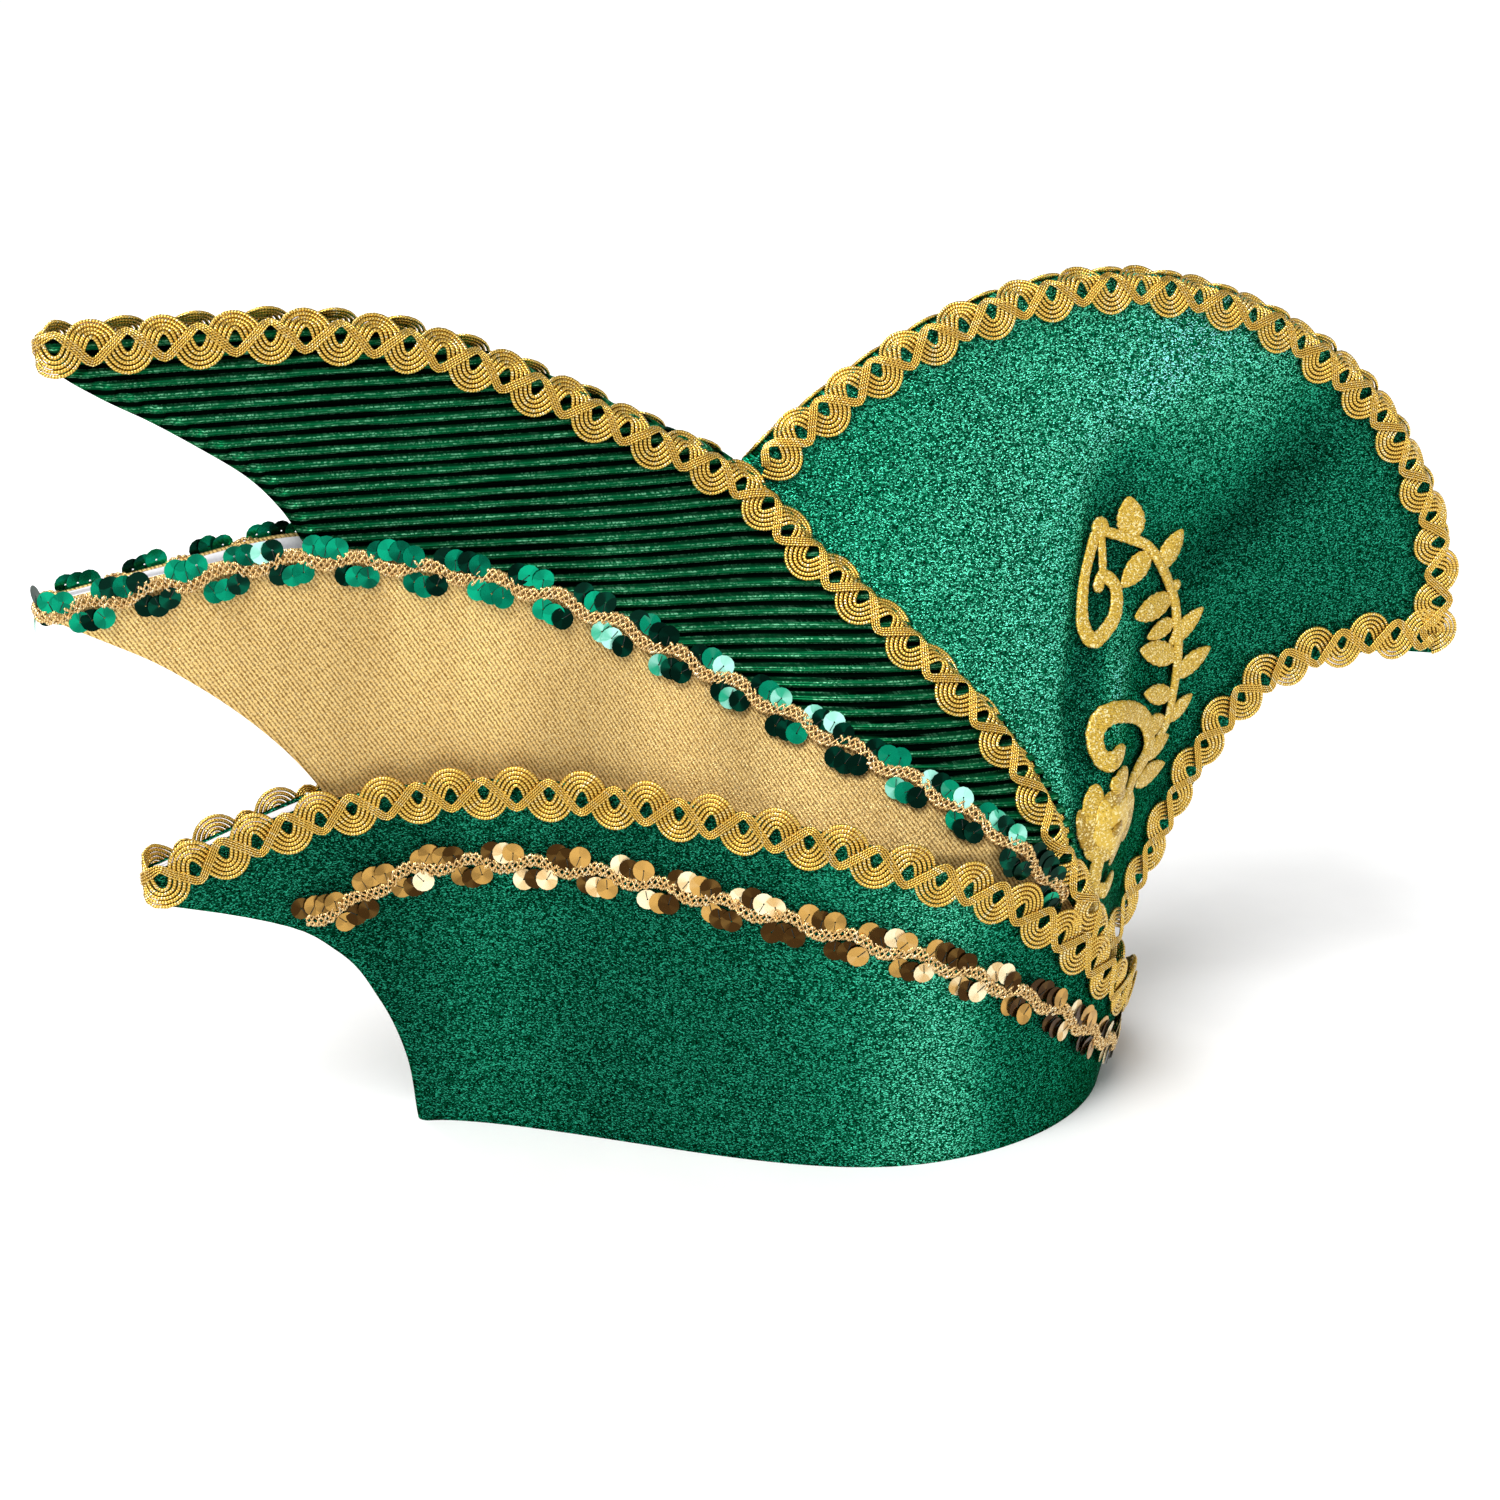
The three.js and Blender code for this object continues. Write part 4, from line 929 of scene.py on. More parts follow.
GREEN_LAME = LameFinish(
    "cloth_green_lame", deep=(0.0002, 0.008, 0.003), main=(0.001, 0.078, 0.034),
    bright=(0.032, 0.43, 0.255), pale=(0.14, 0.68, 0.45), edge=(0.02, 0.35, 0.2),
    metal=0.7, rough=0.42, twill=0.0, glitter=0.9)
GOLD_LAME = LameFinish(
    "cloth_gold_lame", deep=(0.24, 0.13, 0.033), main=(0.94, 0.66, 0.255),
    bright=(1.0, 0.85, 0.5), pale=(1.0, 0.9, 0.6), edge=(1.0, 0.8, 0.5),
    metal=0.55, rough=0.46, twill=0.66, glitter=0.2, dark_to=0.1, light_from=0.64)
GOLD_BRAID = ThreadFinish(
    "thread_gold_braid", deep=(0.46, 0.27, 0.032), main=(0.96, 0.65, 0.14), bright=(1.0, 0.93, 0.58),
    metal=0.9, rough=0.3)
GIMP_CORD = ThreadFinish(
    "thread_gimp_cord", deep=(0.46, 0.27, 0.09), main=(0.98, 0.69, 0.31), bright=(1.0, 0.93, 0.68),
    rough=0.34)
GREEN_SEQUINS = SequinFinish(
    "film_green_sequins", deep=(0.0005, 0.02, 0.011), main=(0.002, 0.42, 0.22), bright=(0.5, 1.0, 0.86))
GOLD_SEQUINS = SequinFinish(
    "film_gold_sequins", deep=(0.05, 0.022, 0.004), main=(0.6, 0.34, 0.085), bright=(1.0, 0.86, 0.55))
WHITE_CARD = PlainFinish("matt_white_card", (0.84, 0.83, 0.85), (0.76, 0.75, 0.78), rough=0.75, grain=900.0)
STITCH = PlainFinish("dark_stitch", (0.01, 0.02, 0.015), (0.004, 0.01, 0.008), rough=0.6, grain=700.0)
FLOOR = PlainFinish("pale_floor", (0.9, 0.9, 0.9), (0.88, 0.88, 0.88), rough=0.6, grain=30.0)


@dataclass
class Tier:
    """One stepped tier: a cloth wall with a pointed tail on a card stiffener."""

    name: str
    half: HalfWidth
    low: Callable[[Array], Array]
    high: Callable[[Array], Array]
    finish: LameFinish
    slot: str
    # Painted light and shade along the tier by x: lighter where positive, darker where negative.
    sheen: SmoothLine
    cloth_thick: float = 1.2
    card_thick: float = 1.0
    card_gap: float = 0.6
    card_low: float = 0.03
    card_high: float = 0.992
    bulge: float = 4.0
    least_bulge: float = 0.4
    tail_share: float = 0.3
    columns: int = 120
    rows: int = 26
    nose_rows: int = 5

    def point(self, share: Array, rise: Array) -> Array:
        """Points on the right-hand side by share of the length and of the height."""
        low, high = self.low(share), self.high(share)
        place = low + (high - low) * rise[:, None]
        return FORM.on_side(self.half, place[:, 0], place[:, 1])

    def outward(self, share: Array, rise: Array) -> Array:
        """Outward directions there."""
        step = 0.004
        s = np.clip(share, step, 1 - step)
        along = self.point(s + step, rise) - self.point(s - step, rise)
        up = self.point(s, rise + step) - self.point(s, rise - step)
        return unit(np.cross(along, up))

    def rise_below(self, share: Array, drop: float) -> Array:
        """Share of the height that lies a drop below the top edge."""
        reach = self.high(share) - self.low(share)
        return 1 - drop / np.hypot(reach[:, 0], reach[:, 1])

    def skin(self, depth: float, low_rise: float, high_rise: float) -> bmesh.types.BMesh:
        """Open skin of both sides, joined round the tail.

        Args:
            depth: How far it lies inside the cloth's outer face.
            low_rise: Share of the height where it starts.
            high_rise: Share of the height where it ends.

        Returns:
            The skin in millimetres.
        """
        def place(share: Array, rise: Array) -> Array:
            """Points of the skin, no further than the middle plane."""
            height = low_rise + (high_rise - low_rise) * rise
            points = self.point(share, height)
            if depth == 0:
                return points
            sunk = points - self.outward(share, height) * depth
            sunk[:, 1] = np.minimum(sunk[:, 1], 0.0)
            return sunk

        bm = bmesh.new()
        add_panel(bm, self.columns, self.rows, place)
        shares = even_shares(self.columns)
        shares = shares[shares <= self.tail_share + 1e-6][::-1]
        rises = even_shares(self.rows)[1:]
        line = np.concatenate([place(shares, np.zeros_like(shares)), place(np.zeros_like(rises), rises)])
        nose = nose_round(line, max(self.bulge - depth, self.least_bulge))
        add_panel(bm, len(line) - 1, self.nose_rows, nose)
        close_sides(bm)
        return bm

    def girth(self, x: Array) -> Array:
        """Length along the side to each x, for the weave's map."""
        rear_x, front_x, level, steepest = -240.0, 126.0, 70.0, 6
        reference = np.linspace(rear_x, front_x, 900)
        run = np.gradient(self.half(reference, np.full_like(reference, level)), reference)
        run = np.clip(run, -steepest, steepest)
        length = np.cumsum(np.sqrt(1 + run ** 2)) * (reference[1] - reference[0])
        return np.interp(x, reference, length)

    def build(self) -> None:
        """Makes the cover and its card."""
        cover = mesh_from(self.skin(0.0, 0.0, 1.0), f"{self.name}_cloth")
        points = form_points(cover)
        write_map(cover, np.stack([self.girth(points[:, 0]), points[:, 2]], axis=-1))
        # Painted light and shade for the lamé finish.
        write_values(cover, SHEEN, self.sheen(points[:, 0]))
        cloth = add_piece(cover, self.slot, f"{self.name}_cover", self.finish.material())
        add_wall(cloth, self.cloth_thick)
        inner = self.skin(self.cloth_thick + self.card_gap, self.card_low, self.card_high)
        lining = mesh_from(inner, f"{self.name}_stiffener")
        write_map(lining, form_points(lining)[:, [0, 2]])
        card = add_piece(lining, "white_card", f"{self.name}_card", WHITE_CARD.material())
        add_wall(card, self.card_thick)


def stretches(share: Array) -> tuple[list[Array], Array]:
    """Splits a tier's length into tail, flank and front.

    Args:
        share: Shares of the length.

    Returns:
        Which stretch each share lies in, as three masks, and the place along that stretch.
    """
    tail, flank = 0.3, 0.68
    masks = [share <= tail, (share > tail) & (share <= flank), share > flank]
    front = np.sin(np.clip((share - flank) / (1 - flank), 0, 1) * np.pi / 2)
    return masks, np.select(masks, [share / tail, (share - tail) / (flank - tail), front])


def base_low(share: Array) -> Array:
    """Lower edge of the lowest tier: up its hollow rear, then round the rim."""
    tail_z, flank, front = 86.0, 140.0, 84.0
    masks, t = stretches(share)
    rear_z = tail_z * (1 - t)
    x = np.select(masks, [FORM.base_rear(rear_z), FORM.rim_x + flank * t, FORM.widest_x + front * t])
    return np.stack([x, np.where(masks[0], rear_z, 0.0)], axis=-1)


def base_high(share: Array) -> Array:
    """Upper edge of the lowest tier."""
    tail_x, tail, flank_x, flank, front = -188.0, 83.0, -105.0, 138.0, 92.7
    masks, t = stretches(share)
    x = np.select(masks, [tail_x + tail * t, flank_x + flank * t, FORM.widest_x + front * t])
    return np.stack([x, FORM.base_edge(x)], axis=-1)


def middle_low(share: Array) -> Array:
    """Lower edge of the second tier, tucked inside the lowest one."""
    tuck, tail_z, tucked_x, front = 18.0, 179.0, -126.0, 63.0
    masks, t = stretches(share)
    low_z = FORM.base_edge(np.array(tucked_x)) - tuck
    rear_z = tail_z + (low_z - tail_z) * t
    start = FORM.middle_rear(low_z)
    flank = start + (FORM.widest_x - start) * t
    x = np.select(masks, [FORM.middle_rear(rear_z), flank, FORM.widest_x + front * t])
    return np.stack([x, np.where(masks[0], rear_z, FORM.base_edge(x) - tuck)], axis=-1)


def middle_high(share: Array) -> Array:
    """Upper edge of the second tier."""
    tail_x, tail, flank_x, flank, front = -214.0, 114.0, -100.0, 133.0, 63.0
    masks, t = stretches(share)
    x = np.select(masks, [tail_x + tail * t, flank_x + flank * t, FORM.widest_x + front * t])
    return np.stack([x, FORM.middle_edge(x)], axis=-1)


# Painted light and shade of the lowest and second tiers along x.
BASE_SHEEN = SmoothLine(
    (-160, -0.1), (-110, -0.2), (-92, 0.0), (-62, -0.17), (-30, -0.12), (-8, 0.0), (8, 0.25),
    (24, 0.58), (40, 0.66), (56, 0.08), (75, -0.05), (125, -0.15))
MIDDLE_SHEEN = SmoothLine(
    (-173, 0.08), (-138, 0.0), (-103, 0.08), (-85, 0.06), (-66, -0.06), (-50, -0.07),
    (-35, 0.04), (-19, -0.18), (-3, -0.16), (30, -0.18), (96, -0.14))
BASE = Tier("base", FORM.base_half, base_low, base_high, GREEN_LAME, "green_lame", BASE_SHEEN)
MIDDLE = Tier("middle", FORM.middle_half, middle_low, middle_high, GOLD_LAME, "gold_lame", MIDDLE_SHEEN)


@dataclass
class PleatedWing:
    """The third tier: level pleats from a tucked lower edge up to the ridge, ending in a tail."""

    low_z: float = 73.0
    high_z: float = 259.0
    closed_z: float = 179.0
    junction_z: float = 207.0
    pleats: int = 47
    columns: int = 56
    thick: float = 0.6
    tail_bulge: float = 5.2
    ridge_bulge: float = 0.6
    nose_rows: int = 4
    still_top: float = 6.0
    profile: tuple[tuple[float, float], ...] = (
        (0.0, -0.6), (0.06, 0.25), (0.17, 0.7), (0.32, 0.85), (0.47, 0.7), (0.58, 0.25), (0.65, -0.6),
        (0.83, -1.2))

    @property
    def pitch(self) -> float:
        """Height of one pleat."""
        return (self.high_z - self.low_z) / self.pleats

    def drift(self, x: Array, z: Array) -> Array:
        """How far the pleats wander up and down: a slow wave that sways, and a quick one."""
        slow, slow_x, sway, sway_z = 0.3, 13.0, 1.7, 23.0
        quick, quick_x, quick_z = 0.2, 5.3, 9.0
        swaying = slow * np.sin(x / slow_x + sway * np.sin(z / sway_z))
        return swaying + quick * np.sin(x / quick_x + z / quick_z)

    def place(self, share: Array, level: Array) -> Array:
        """Points on the right-hand side by share of the length and share of all rows."""
        row = np.round(level * self.pleats * len(self.profile)).astype(int)
        steps = np.array(self.profile)
        phase, height = steps[row % len(steps)].T
        z = np.minimum(self.low_z + (row // len(steps) + phase) * self.pitch, self.high_z)
        x = FORM.wing_left(z) + (FORM.wing_right(z) - FORM.wing_left(z)) * share
        inside = np.sin(np.pi * np.clip(share, 0, 1)) * smoothstep(self.high_z - z, 0.0, self.still_top)
        z = z + self.drift(x, z) * inside
        points = FORM.on_side(FORM.wing_half, x, z)
        return points + FORM.outward(FORM.wing_half, x, z) * height[:, None]

    def build(self) -> None:
        """Makes the pleated cover."""
        rows = self.pleats * len(self.profile)
        levels = even_shares(rows)
        heights = self.low_z + levels * (self.high_z - self.low_z)
        bm = bmesh.new()
        add_panel(bm, self.columns, rows, self.place)
        tail = levels[heights >= self.closed_z]
        nose = nose_round(self.place(np.zeros_like(tail), tail), self.tail_bulge)
        add_panel(bm, len(tail) - 1, self.nose_rows, nose)
        ridge, top = levels[heights >= self.junction_z][::-1], even_shares(self.columns)
        slope = self.place(np.ones_like(ridge), ridge)[1:]
        line = np.concatenate([self.place(top, np.ones_like(top)), slope])
        add_panel(bm, len(line) - 1, self.nose_rows, nose_round(line, self.ridge_bulge))
        close_sides(bm)
        mesh = mesh_from(bm, "wing_cloth")
        points = form_points(mesh)
        write_map(mesh, np.stack([points[:, 0], (points[:, 2] - self.low_z) / self.pitch], axis=-1))
        piece = add_piece(mesh, "pleated_satin", "pleated_wing", PleatFinish().material())
        add_wall(piece, self.thick)


@dataclass
class FrontCrest:
    """The tall crest: two panels that lean together, with a narrow strip over arc and front."""

    columns: int = 88
    rows: int = 60
    thick: float = 1.6
    crowding: float = 1.4
    bulge: float = 0.8
    nose_rows: int = 4
    # Painted light and shade of the crest: patches along lines, lighter where positive, darker where
    # negative, their sum held between these bounds.
    least_sheen: float = -0.6
    most_sheen: float = 1.3
    sheens: tuple[Fold, ...] = (
        Fold(0.75, 0.45, 0.035, ((-0.6, 0.2), (0.22, 0.22), (0.355, 0.255), (0.46, 0.325), (0.59, 0.385),
                                (0.685, 0.41), (0.78, 0.47), (0.9, 0.5), (1.8, 0.5))),
        Fold(0.8, 0.1, 0.12, ((0.6, 0.52), (0.8, 0.56), (0.95, 0.58), (1.3, 0.58))),
        Fold(-0.4, 0.03, 0.08, ((0.2, 0.27), (0.355, 0.3), (0.46, 0.38), (0.59, 0.44), (0.685, 0.46),
                                (0.8, 0.48))),
        Fold(1.0, 0.05, 0.06, ((0.27, 0.43), (0.4, 0.46), (0.54, 0.5))),
        Fold(-0.45, 0.05, 0.05, ((0.35, 0.56), (0.54, 0.64), (0.65, 0.7), (0.795, 0.725), (0.94, 0.695),
                                 (1.2, 0.66))),
    )

    def sheen_at(self, places: Array) -> Array:
        """Painted light and shade of the crest at places in the side view."""
        shares = FORM.crest_shares(places)
        return np.clip(sum(patch(*shares) for patch in self.sheens), self.least_sheen, self.most_sheen)

    def build(self) -> None:
        """Makes the crest's cover."""
        def place(across: Array, level: Array) -> Array:
            """Points of the panel, with more rows near the arc."""
            return FORM.crest_point(across, 1 - (1 - level) ** self.crowding)

        bm = bmesh.new()
        add_panel(bm, self.columns, self.rows, place)
        across, levels = even_shares(self.columns), even_shares(self.rows)[::-1][1:]
        line = np.concatenate([place(across, np.ones_like(across)), place(np.ones_like(levels), levels)])
        add_panel(bm, len(line) - 1, self.nose_rows, nose_round(line, self.bulge))
        close_sides(bm)
        mesh = mesh_from(bm, "crest_cloth")
        places = form_points(mesh)[:, [0, 2]]
        write_map(mesh, places)
        # Painted light and shade for the lamé finish.
        write_values(mesh, SHEEN, self.sheen_at(places))
        piece = add_piece(mesh, "green_lame", "front_crest", GREEN_LAME.material())
        add_wall(piece, self.thick)


@dataclass
class Run:
    """A line on the cloth that a trim follows, with the outward direction at each point."""

    points: Array
    outward: Array
    closed: bool = False
    bend: Array | None = None
    length: float = field(init=False)

    def __post_init__(self) -> None:
        """Spaces the points evenly and works out the trim's own directions."""
        spacing, reach = 1.0, 4
        points, outward = self.points, self.outward
        if self.closed:
            points, outward = (np.concatenate([part, part[:1]]) for part in (points, outward))
        at = lengths(points)
        even = np.linspace(0, at[-1], int(at[-1] / spacing) + 1)
        if self.bend is not None:
            self.bend = np.interp(even, at, self.bend)
        points, outward = (along_rows(even, at, part) for part in (points, outward))
        points, outward = self.eased(points, reach), unit(self.eased(outward, reach))
        if self.closed:
            ring = np.concatenate([points[-2:-1], points, points[1:2]])
            along = unit(ring[2:] - ring[:-2])
        else:
            along = unit(np.gradient(points, axis=0))
        self.points = points
        self.up = unit(np.cross(outward, along))
        self.lift = unit(np.cross(along, self.up))
        self.along = along
        self.at = lengths(points)
        self.length = float(self.at[-1])

    def eased(self, rows: Array, reach: int) -> Array:
        """Rows averaged over their neighbours, with the ends of an open run kept."""
        weights = np.hanning(2 * reach + 3)[1:-1]
        weights /= weights.sum()
        if self.closed:
            padded = np.concatenate([rows[-reach - 1:-1], rows, rows[1:reach + 1]])
        else:
            before, after = rows[reach:0:-1], rows[-2:-reach - 2:-1]
            padded = np.concatenate([2 * rows[:1] - before, rows, 2 * rows[-1:] - after])
        return np.stack([np.convolve(padded[:, k], weights, "valid") for k in range(3)], axis=-1)

    def frame_at(self, u: Array) -> tuple[Array, Array, Array, Array]:
        """Point, along, up and lift at lengths along the run."""
        place = np.mod(u, self.length) if self.closed else np.clip(u, 0, self.length)
        parts = (self.points, self.along, self.up, self.lift)
        found = [along_rows(place, self.at, part) for part in parts]
        if not self.closed:
            found[0] = found[0] + found[1] * (u - place)[:, None]
        return tuple(found)

    def bend_at(self, u: Array) -> Array | float:
        """How far a trim's upper part bends over the edge there, in radians."""
        return 0.0 if self.bend is None else np.interp(u, self.at, self.bend)

    def flipped(self) -> "Run":
        """The same run on the other side of the cap."""
        bend = None if self.bend is None else self.bend[::-1]
        return Run(mirrored(self.points)[::-1], mirrored(self.lift)[::-1], self.closed, bend)


class Bundle:
    """Many small closed shapes gathered into one mesh."""

    def __init__(self) -> None:
        """Starts empty."""
        self.points: list[Array] = []
        self.uv: list[Array] = []
        self.tone: list[Array] = []
        self.faces: list[list[int]] = []
        self.material: list[int] = []
        self.smooth: list[bool] = []
        self.count = 0

    def add(self, points: Array, faces: Sequence[Sequence[int]], uv: Array, tone: float = 0.5,
            material: int = 0, smooth: bool = True) -> None:
        """Adds one shape.

        Args:
            points: Its points in millimetres.
            faces: Its faces, as numbers of its own points.
            uv: Its map, one row for each point.
            tone: A value that its finish may read.
            material: Its material's index.
            smooth: Whether its faces are shaded as one round surface.
        """
        self.points.append(points)
        self.uv.append(uv)
        self.tone.append(np.full(len(points), tone))
        self.faces.extend([[i + self.count for i in face] for face in faces])
        self.material.extend([material] * len(faces))
        self.smooth.extend([smooth] * len(faces))
        self.count += len(points)

    def add_tube(self, path: Array, across: Array, lift: Array, size: tuple[float, float], sides: int,
                 closed: bool, material: int = 0) -> None:
        """Adds a cord along a path.

        Args:
            path: Its middle line.
            across: Directions across it, in the plane of the cloth.
            lift: Directions away from the cloth.
            size: Half-sizes across and away from the cloth.
            sides: Number of its sides.
            closed: Whether it joins its own start.
            material: Its material's index.
        """
        count = len(path)
        turn = 2 * np.pi * np.arange(sides) / sides
        rings = (path[:, None] + across[:, None] * (size[0] * np.cos(turn))[None, :, None]
                 + lift[:, None] * (size[1] * np.sin(turn))[None, :, None])
        around = np.tile(np.arange(sides) / sides, count)
        uv = np.stack([np.repeat(lengths(path), sides), around], axis=-1)
        self.add(rings.reshape(-1, 3), tube_faces(count, sides, closed), uv, material=material)

    def mesh(self, name: str) -> bpy.types.Mesh:
        """Gathers the shapes into a mesh in the row frame, its faces turned outwards."""
        mesh = bpy.data.meshes.new(name)
        mesh.from_pydata(to_row(np.concatenate(self.points)).tolist(), [], self.faces)
        mesh.polygons.foreach_set("material_index", self.material)
        write_map(mesh, np.concatenate(self.uv))
        write_values(mesh, TONE, np.concatenate(self.tone))
        bm = bmesh.new()
        bm.from_mesh(mesh)
        bmesh.ops.recalc_face_normals(bm, faces=bm.faces[:])
        bm.to_mesh(mesh)
        bm.free()
        mesh.polygons.foreach_set("use_smooth", self.smooth)
        mesh.update()
        return mesh


@dataclass
class ScrollBraid:
    """Gold braid: a meander of five cords, crossed by a narrow flat band that winds the other way."""

    pitch: float = 20.4
    reach: float = 5.5
    swell: float = 0.68
    cords: int = 5
    cord_gap: float = 1.4
    cord_half: float = 0.63
    cord_sides: int = 5
    cord_lift: float = 0.5
    cord_sway: float = 0.25
    band_reach: float = 4.4
    band_point: float = 0.08
    band_lift: float = 1.35
    band_sway: float = 0.15
    threads: int = 4
    thread_gap: float = 0.7
    thread_half: float = 0.36
    thread_thick: float = 0.3
    thread_sides: int = 4
    base_lift: float = 1.25
    phase: float = math.pi / 2
    bend_from: float = 1.6
    bend_reach: float = 3.0
    samples: int = 24
    band_samples: int = 16

    def strand(self, run: Run, bundle: Bundle, line: tuple[Array, Array, Array], offset: float,
               size: tuple[float, float], sides: int) -> None:
        """Adds one strand beside a wave's middle line.

        Args:
            run: The trim's line on the cloth.
            bundle: Where the strand goes.
            line: The wave's length along the run, height across it and lift off the cloth.
            offset: How far the strand lies to the side of the wave's middle line.
            size: The strand's half-sizes.
            sides: Number of its sides.
        """
        u, v, w = line
        du, dv = np.gradient(u), np.gradient(v)
        if run.closed:
            du[0] = du[-1] = (u[1] - u[0] + u[-1] - u[-2]) / 2
            dv[0] = dv[-1] = (v[1] - v[0] + v[-1] - v[-2]) / 2
        scale = np.hypot(du, dv)
        across_u, across_v = -dv / scale, du / scale
        point, along, up, lift = run.frame_at(u + across_u * offset)
        height = v + across_v * offset
        over = np.maximum(height - self.bend_from, 0)
        angle = run.bend_at(u) * np.clip(over / self.bend_reach, 0, 1)
        height, w = height - over * (1 - np.cos(angle)), w - over * np.sin(angle)
        path = point + up * height[:, None] + lift * w[:, None]
        across = along * across_u[:, None] + up * across_v[:, None]
        if run.closed:
            path, across, lift = path[:-1], across[:-1], lift[:-1]
        bundle.add_tube(path, across, lift, size, sides, run.closed)

    def lay(self, run: Run, bundle: Bundle) -> None:
        """Lays the braid along a run."""
        turns = max(1, round(run.length / self.pitch))
        pitch = run.length / turns
        along = np.linspace(0, 2 * np.pi * turns, turns * self.samples + 1)
        theta = along + self.phase
        u = pitch * along / (2 * np.pi) + self.swell * (np.sin(2 * theta) - np.sin(2 * self.phase))
        lift = self.base_lift + self.cord_lift - self.cord_sway * np.sin(theta)
        wave = (u, self.reach * np.cos(theta), lift)
        for k in range(self.cords):
            offset = (k - (self.cords - 1) / 2) * self.cord_gap
            self.strand(run, bundle, wave, offset, (self.cord_half, self.cord_half), self.cord_sides)
        along = np.linspace(0, 2 * np.pi * turns, turns * self.band_samples + 1)
        theta = along + self.phase
        pointed = (1 - self.band_point) * np.cos(theta) + self.band_point * np.cos(3 * theta)
        lift = self.base_lift + self.band_lift + self.band_sway * np.sin(theta)
        band = (pitch * along / (2 * np.pi), -self.band_reach * pointed, lift)
        for k in range(self.threads):
            offset = (k - (self.threads - 1) / 2) * self.thread_gap
            size = (self.thread_half, self.thread_thick)
            self.strand(run, bundle, band, offset, size, self.thread_sides)

    def build(self, name: str, node: str, *runs: Run) -> None:
        """Makes one braid as a piece, laid along one or more runs."""
        bundle = Bundle()
        for run in runs:
            self.lay(run, bundle)
        add_piece(bundle.mesh(name), "gold_braid", node, GOLD_BRAID.material())


def round_tail(points: Array, outward: Array, closed: bool, bend: Array | None = None) -> Run:
    """A run along the left side from the front, round the tail's tip and back along the right side.

    Args:
        points: The right-hand line from the front to the tail.
        outward: The outward directions along it.
        closed: Whether both sides meet at the front.
        bend: How far the trim's upper part bends over the edge along the line, in radians.

    Returns:
        The whole run.
    """
    nose, steps = 4.4, 14
    turn = np.linspace(0, np.pi, steps)[1:-1]
    x, y, z = points[-1]
    arc = np.stack([x - nose * np.sin(turn), -y * np.cos(turn), np.full_like(turn, z)], axis=-1)
    arc_out = np.stack([-np.sin(turn), np.cos(turn), np.zeros_like(turn)], axis=-1)
    back, back_out = points[::-1], outward[::-1]
    if closed:
        back, back_out = back[:-1], back_out[:-1]
    if bend is not None:
        bend = np.concatenate([bend, np.full_like(turn, bend[-1]), bend[::-1]])
    whole = np.concatenate([mirrored(points), arc, back])
    return Run(whole, np.concatenate([mirrored(outward), arc_out, back_out]), closed, bend)


def base_braid_run() -> Run:
    """Line of the braid just below the lowest tier's top edge."""
    drop = 3.6
    share = np.linspace(1, 0, 400)
    rise = BASE.rise_below(share, drop)
    return round_tail(BASE.point(share, rise), BASE.outward(share, rise), closed=True)


def middle_sequin_run() -> Run:
    """Line of the sequins just below the second tier's top edge."""
    drop, front = 3.0, 0.84
    share = np.linspace(front, 0, 300)
    rise = MIDDLE.rise_below(share, drop)
    return round_tail(MIDDLE.point(share, rise), MIDDLE.outward(share, rise), closed=False)


def base_sequin_run() -> Run:
    """Line of the sequins across the lowest tier, round the front from one rear edge to the other."""
    line = SmoothLine((-157, 74), (-138, 75.5), (-111, 88.5), (-86, 91.2), (-60, 90), (-33, 85.5), (8, 76),
                      (38, 65), (55, 55.5), (74, 44), (90, 30), (106, 17), (124, 8.5))
    rear, rounds = 0.055, 14
    share = np.linspace(1, rear, 400)
    rise = np.full_like(share, 0.5)
    low, high = BASE.low(share), BASE.high(share)
    for _ in range(rounds):
        x = low[:, 0] + (high[:, 0] - low[:, 0]) * rise
        target = (line(x) - low[:, 1]) / (high[:, 1] - low[:, 1])
        rise = rise + (np.clip(target, 0, 1) - rise) / 2
    points, outward = BASE.point(share, rise), BASE.outward(share, rise)
    return Run(np.concatenate([points[::-1], mirrored(points)[1:]]),
               np.concatenate([outward[::-1], mirrored(outward)[1:]]))


def wing_braid_run() -> Run:
    """Line of the braid along the wing's front slope and top edge, round its tail."""
    drop, deeper, shallower, raised, lean, over_middle = 4.5, 2.5, 6.5, 2.4, 3.5, 1.0
    low_z, high_z, bend = 61.0, 259.0, math.radians(42)
    on_middle, leaning = (80.0, 97.0), (60.0, 74.0)
    deep, shallow, tail = (105.0, 150.0), (72.0, 100.0), (-130.0, -30.0)
    bend_from, bend_to = -242.0, -212.0

    def half(x: Array, z: Array) -> Array:
        """Half-width that passes from the wing to the second tier's front end."""
        low = falling(z, *on_middle)
        return FORM.wing_half(x, z) * (1 - low) + (FORM.middle_half(x, z) + over_middle) * low

    z = np.linspace(low_z, high_z, 200)
    edge = np.stack([FORM.wing_right(z) + lean * falling(z, *leaning), z], axis=-1)
    top = np.array(high_z)
    top_x = np.linspace(FORM.wing_right(top), FORM.wing_left(top), 60)[1:]
    line = np.concatenate([edge, np.stack([top_x, np.full_like(top_x, high_z)], axis=-1)])
    run = unit(np.gradient(line, axis=0))
    inward = drop + deeper * falling(line[:, 1], *deep)
    inward = inward - raised * falling(line[:, 0], *tail)
    inward = inward - shallower * falling(line[:, 1], *shallow)
    x, z = line[:, 0] - inward * run[:, 1], line[:, 1] + inward * run[:, 0]
    outward = FORM.outward(half, x, z)
    points = FORM.on_side(half, x, z) + outward * FORM.pleat_height
    over = bend * smoothstep(x, bend_from, bend_to)
    return round_tail(points, outward, closed=False, bend=over)


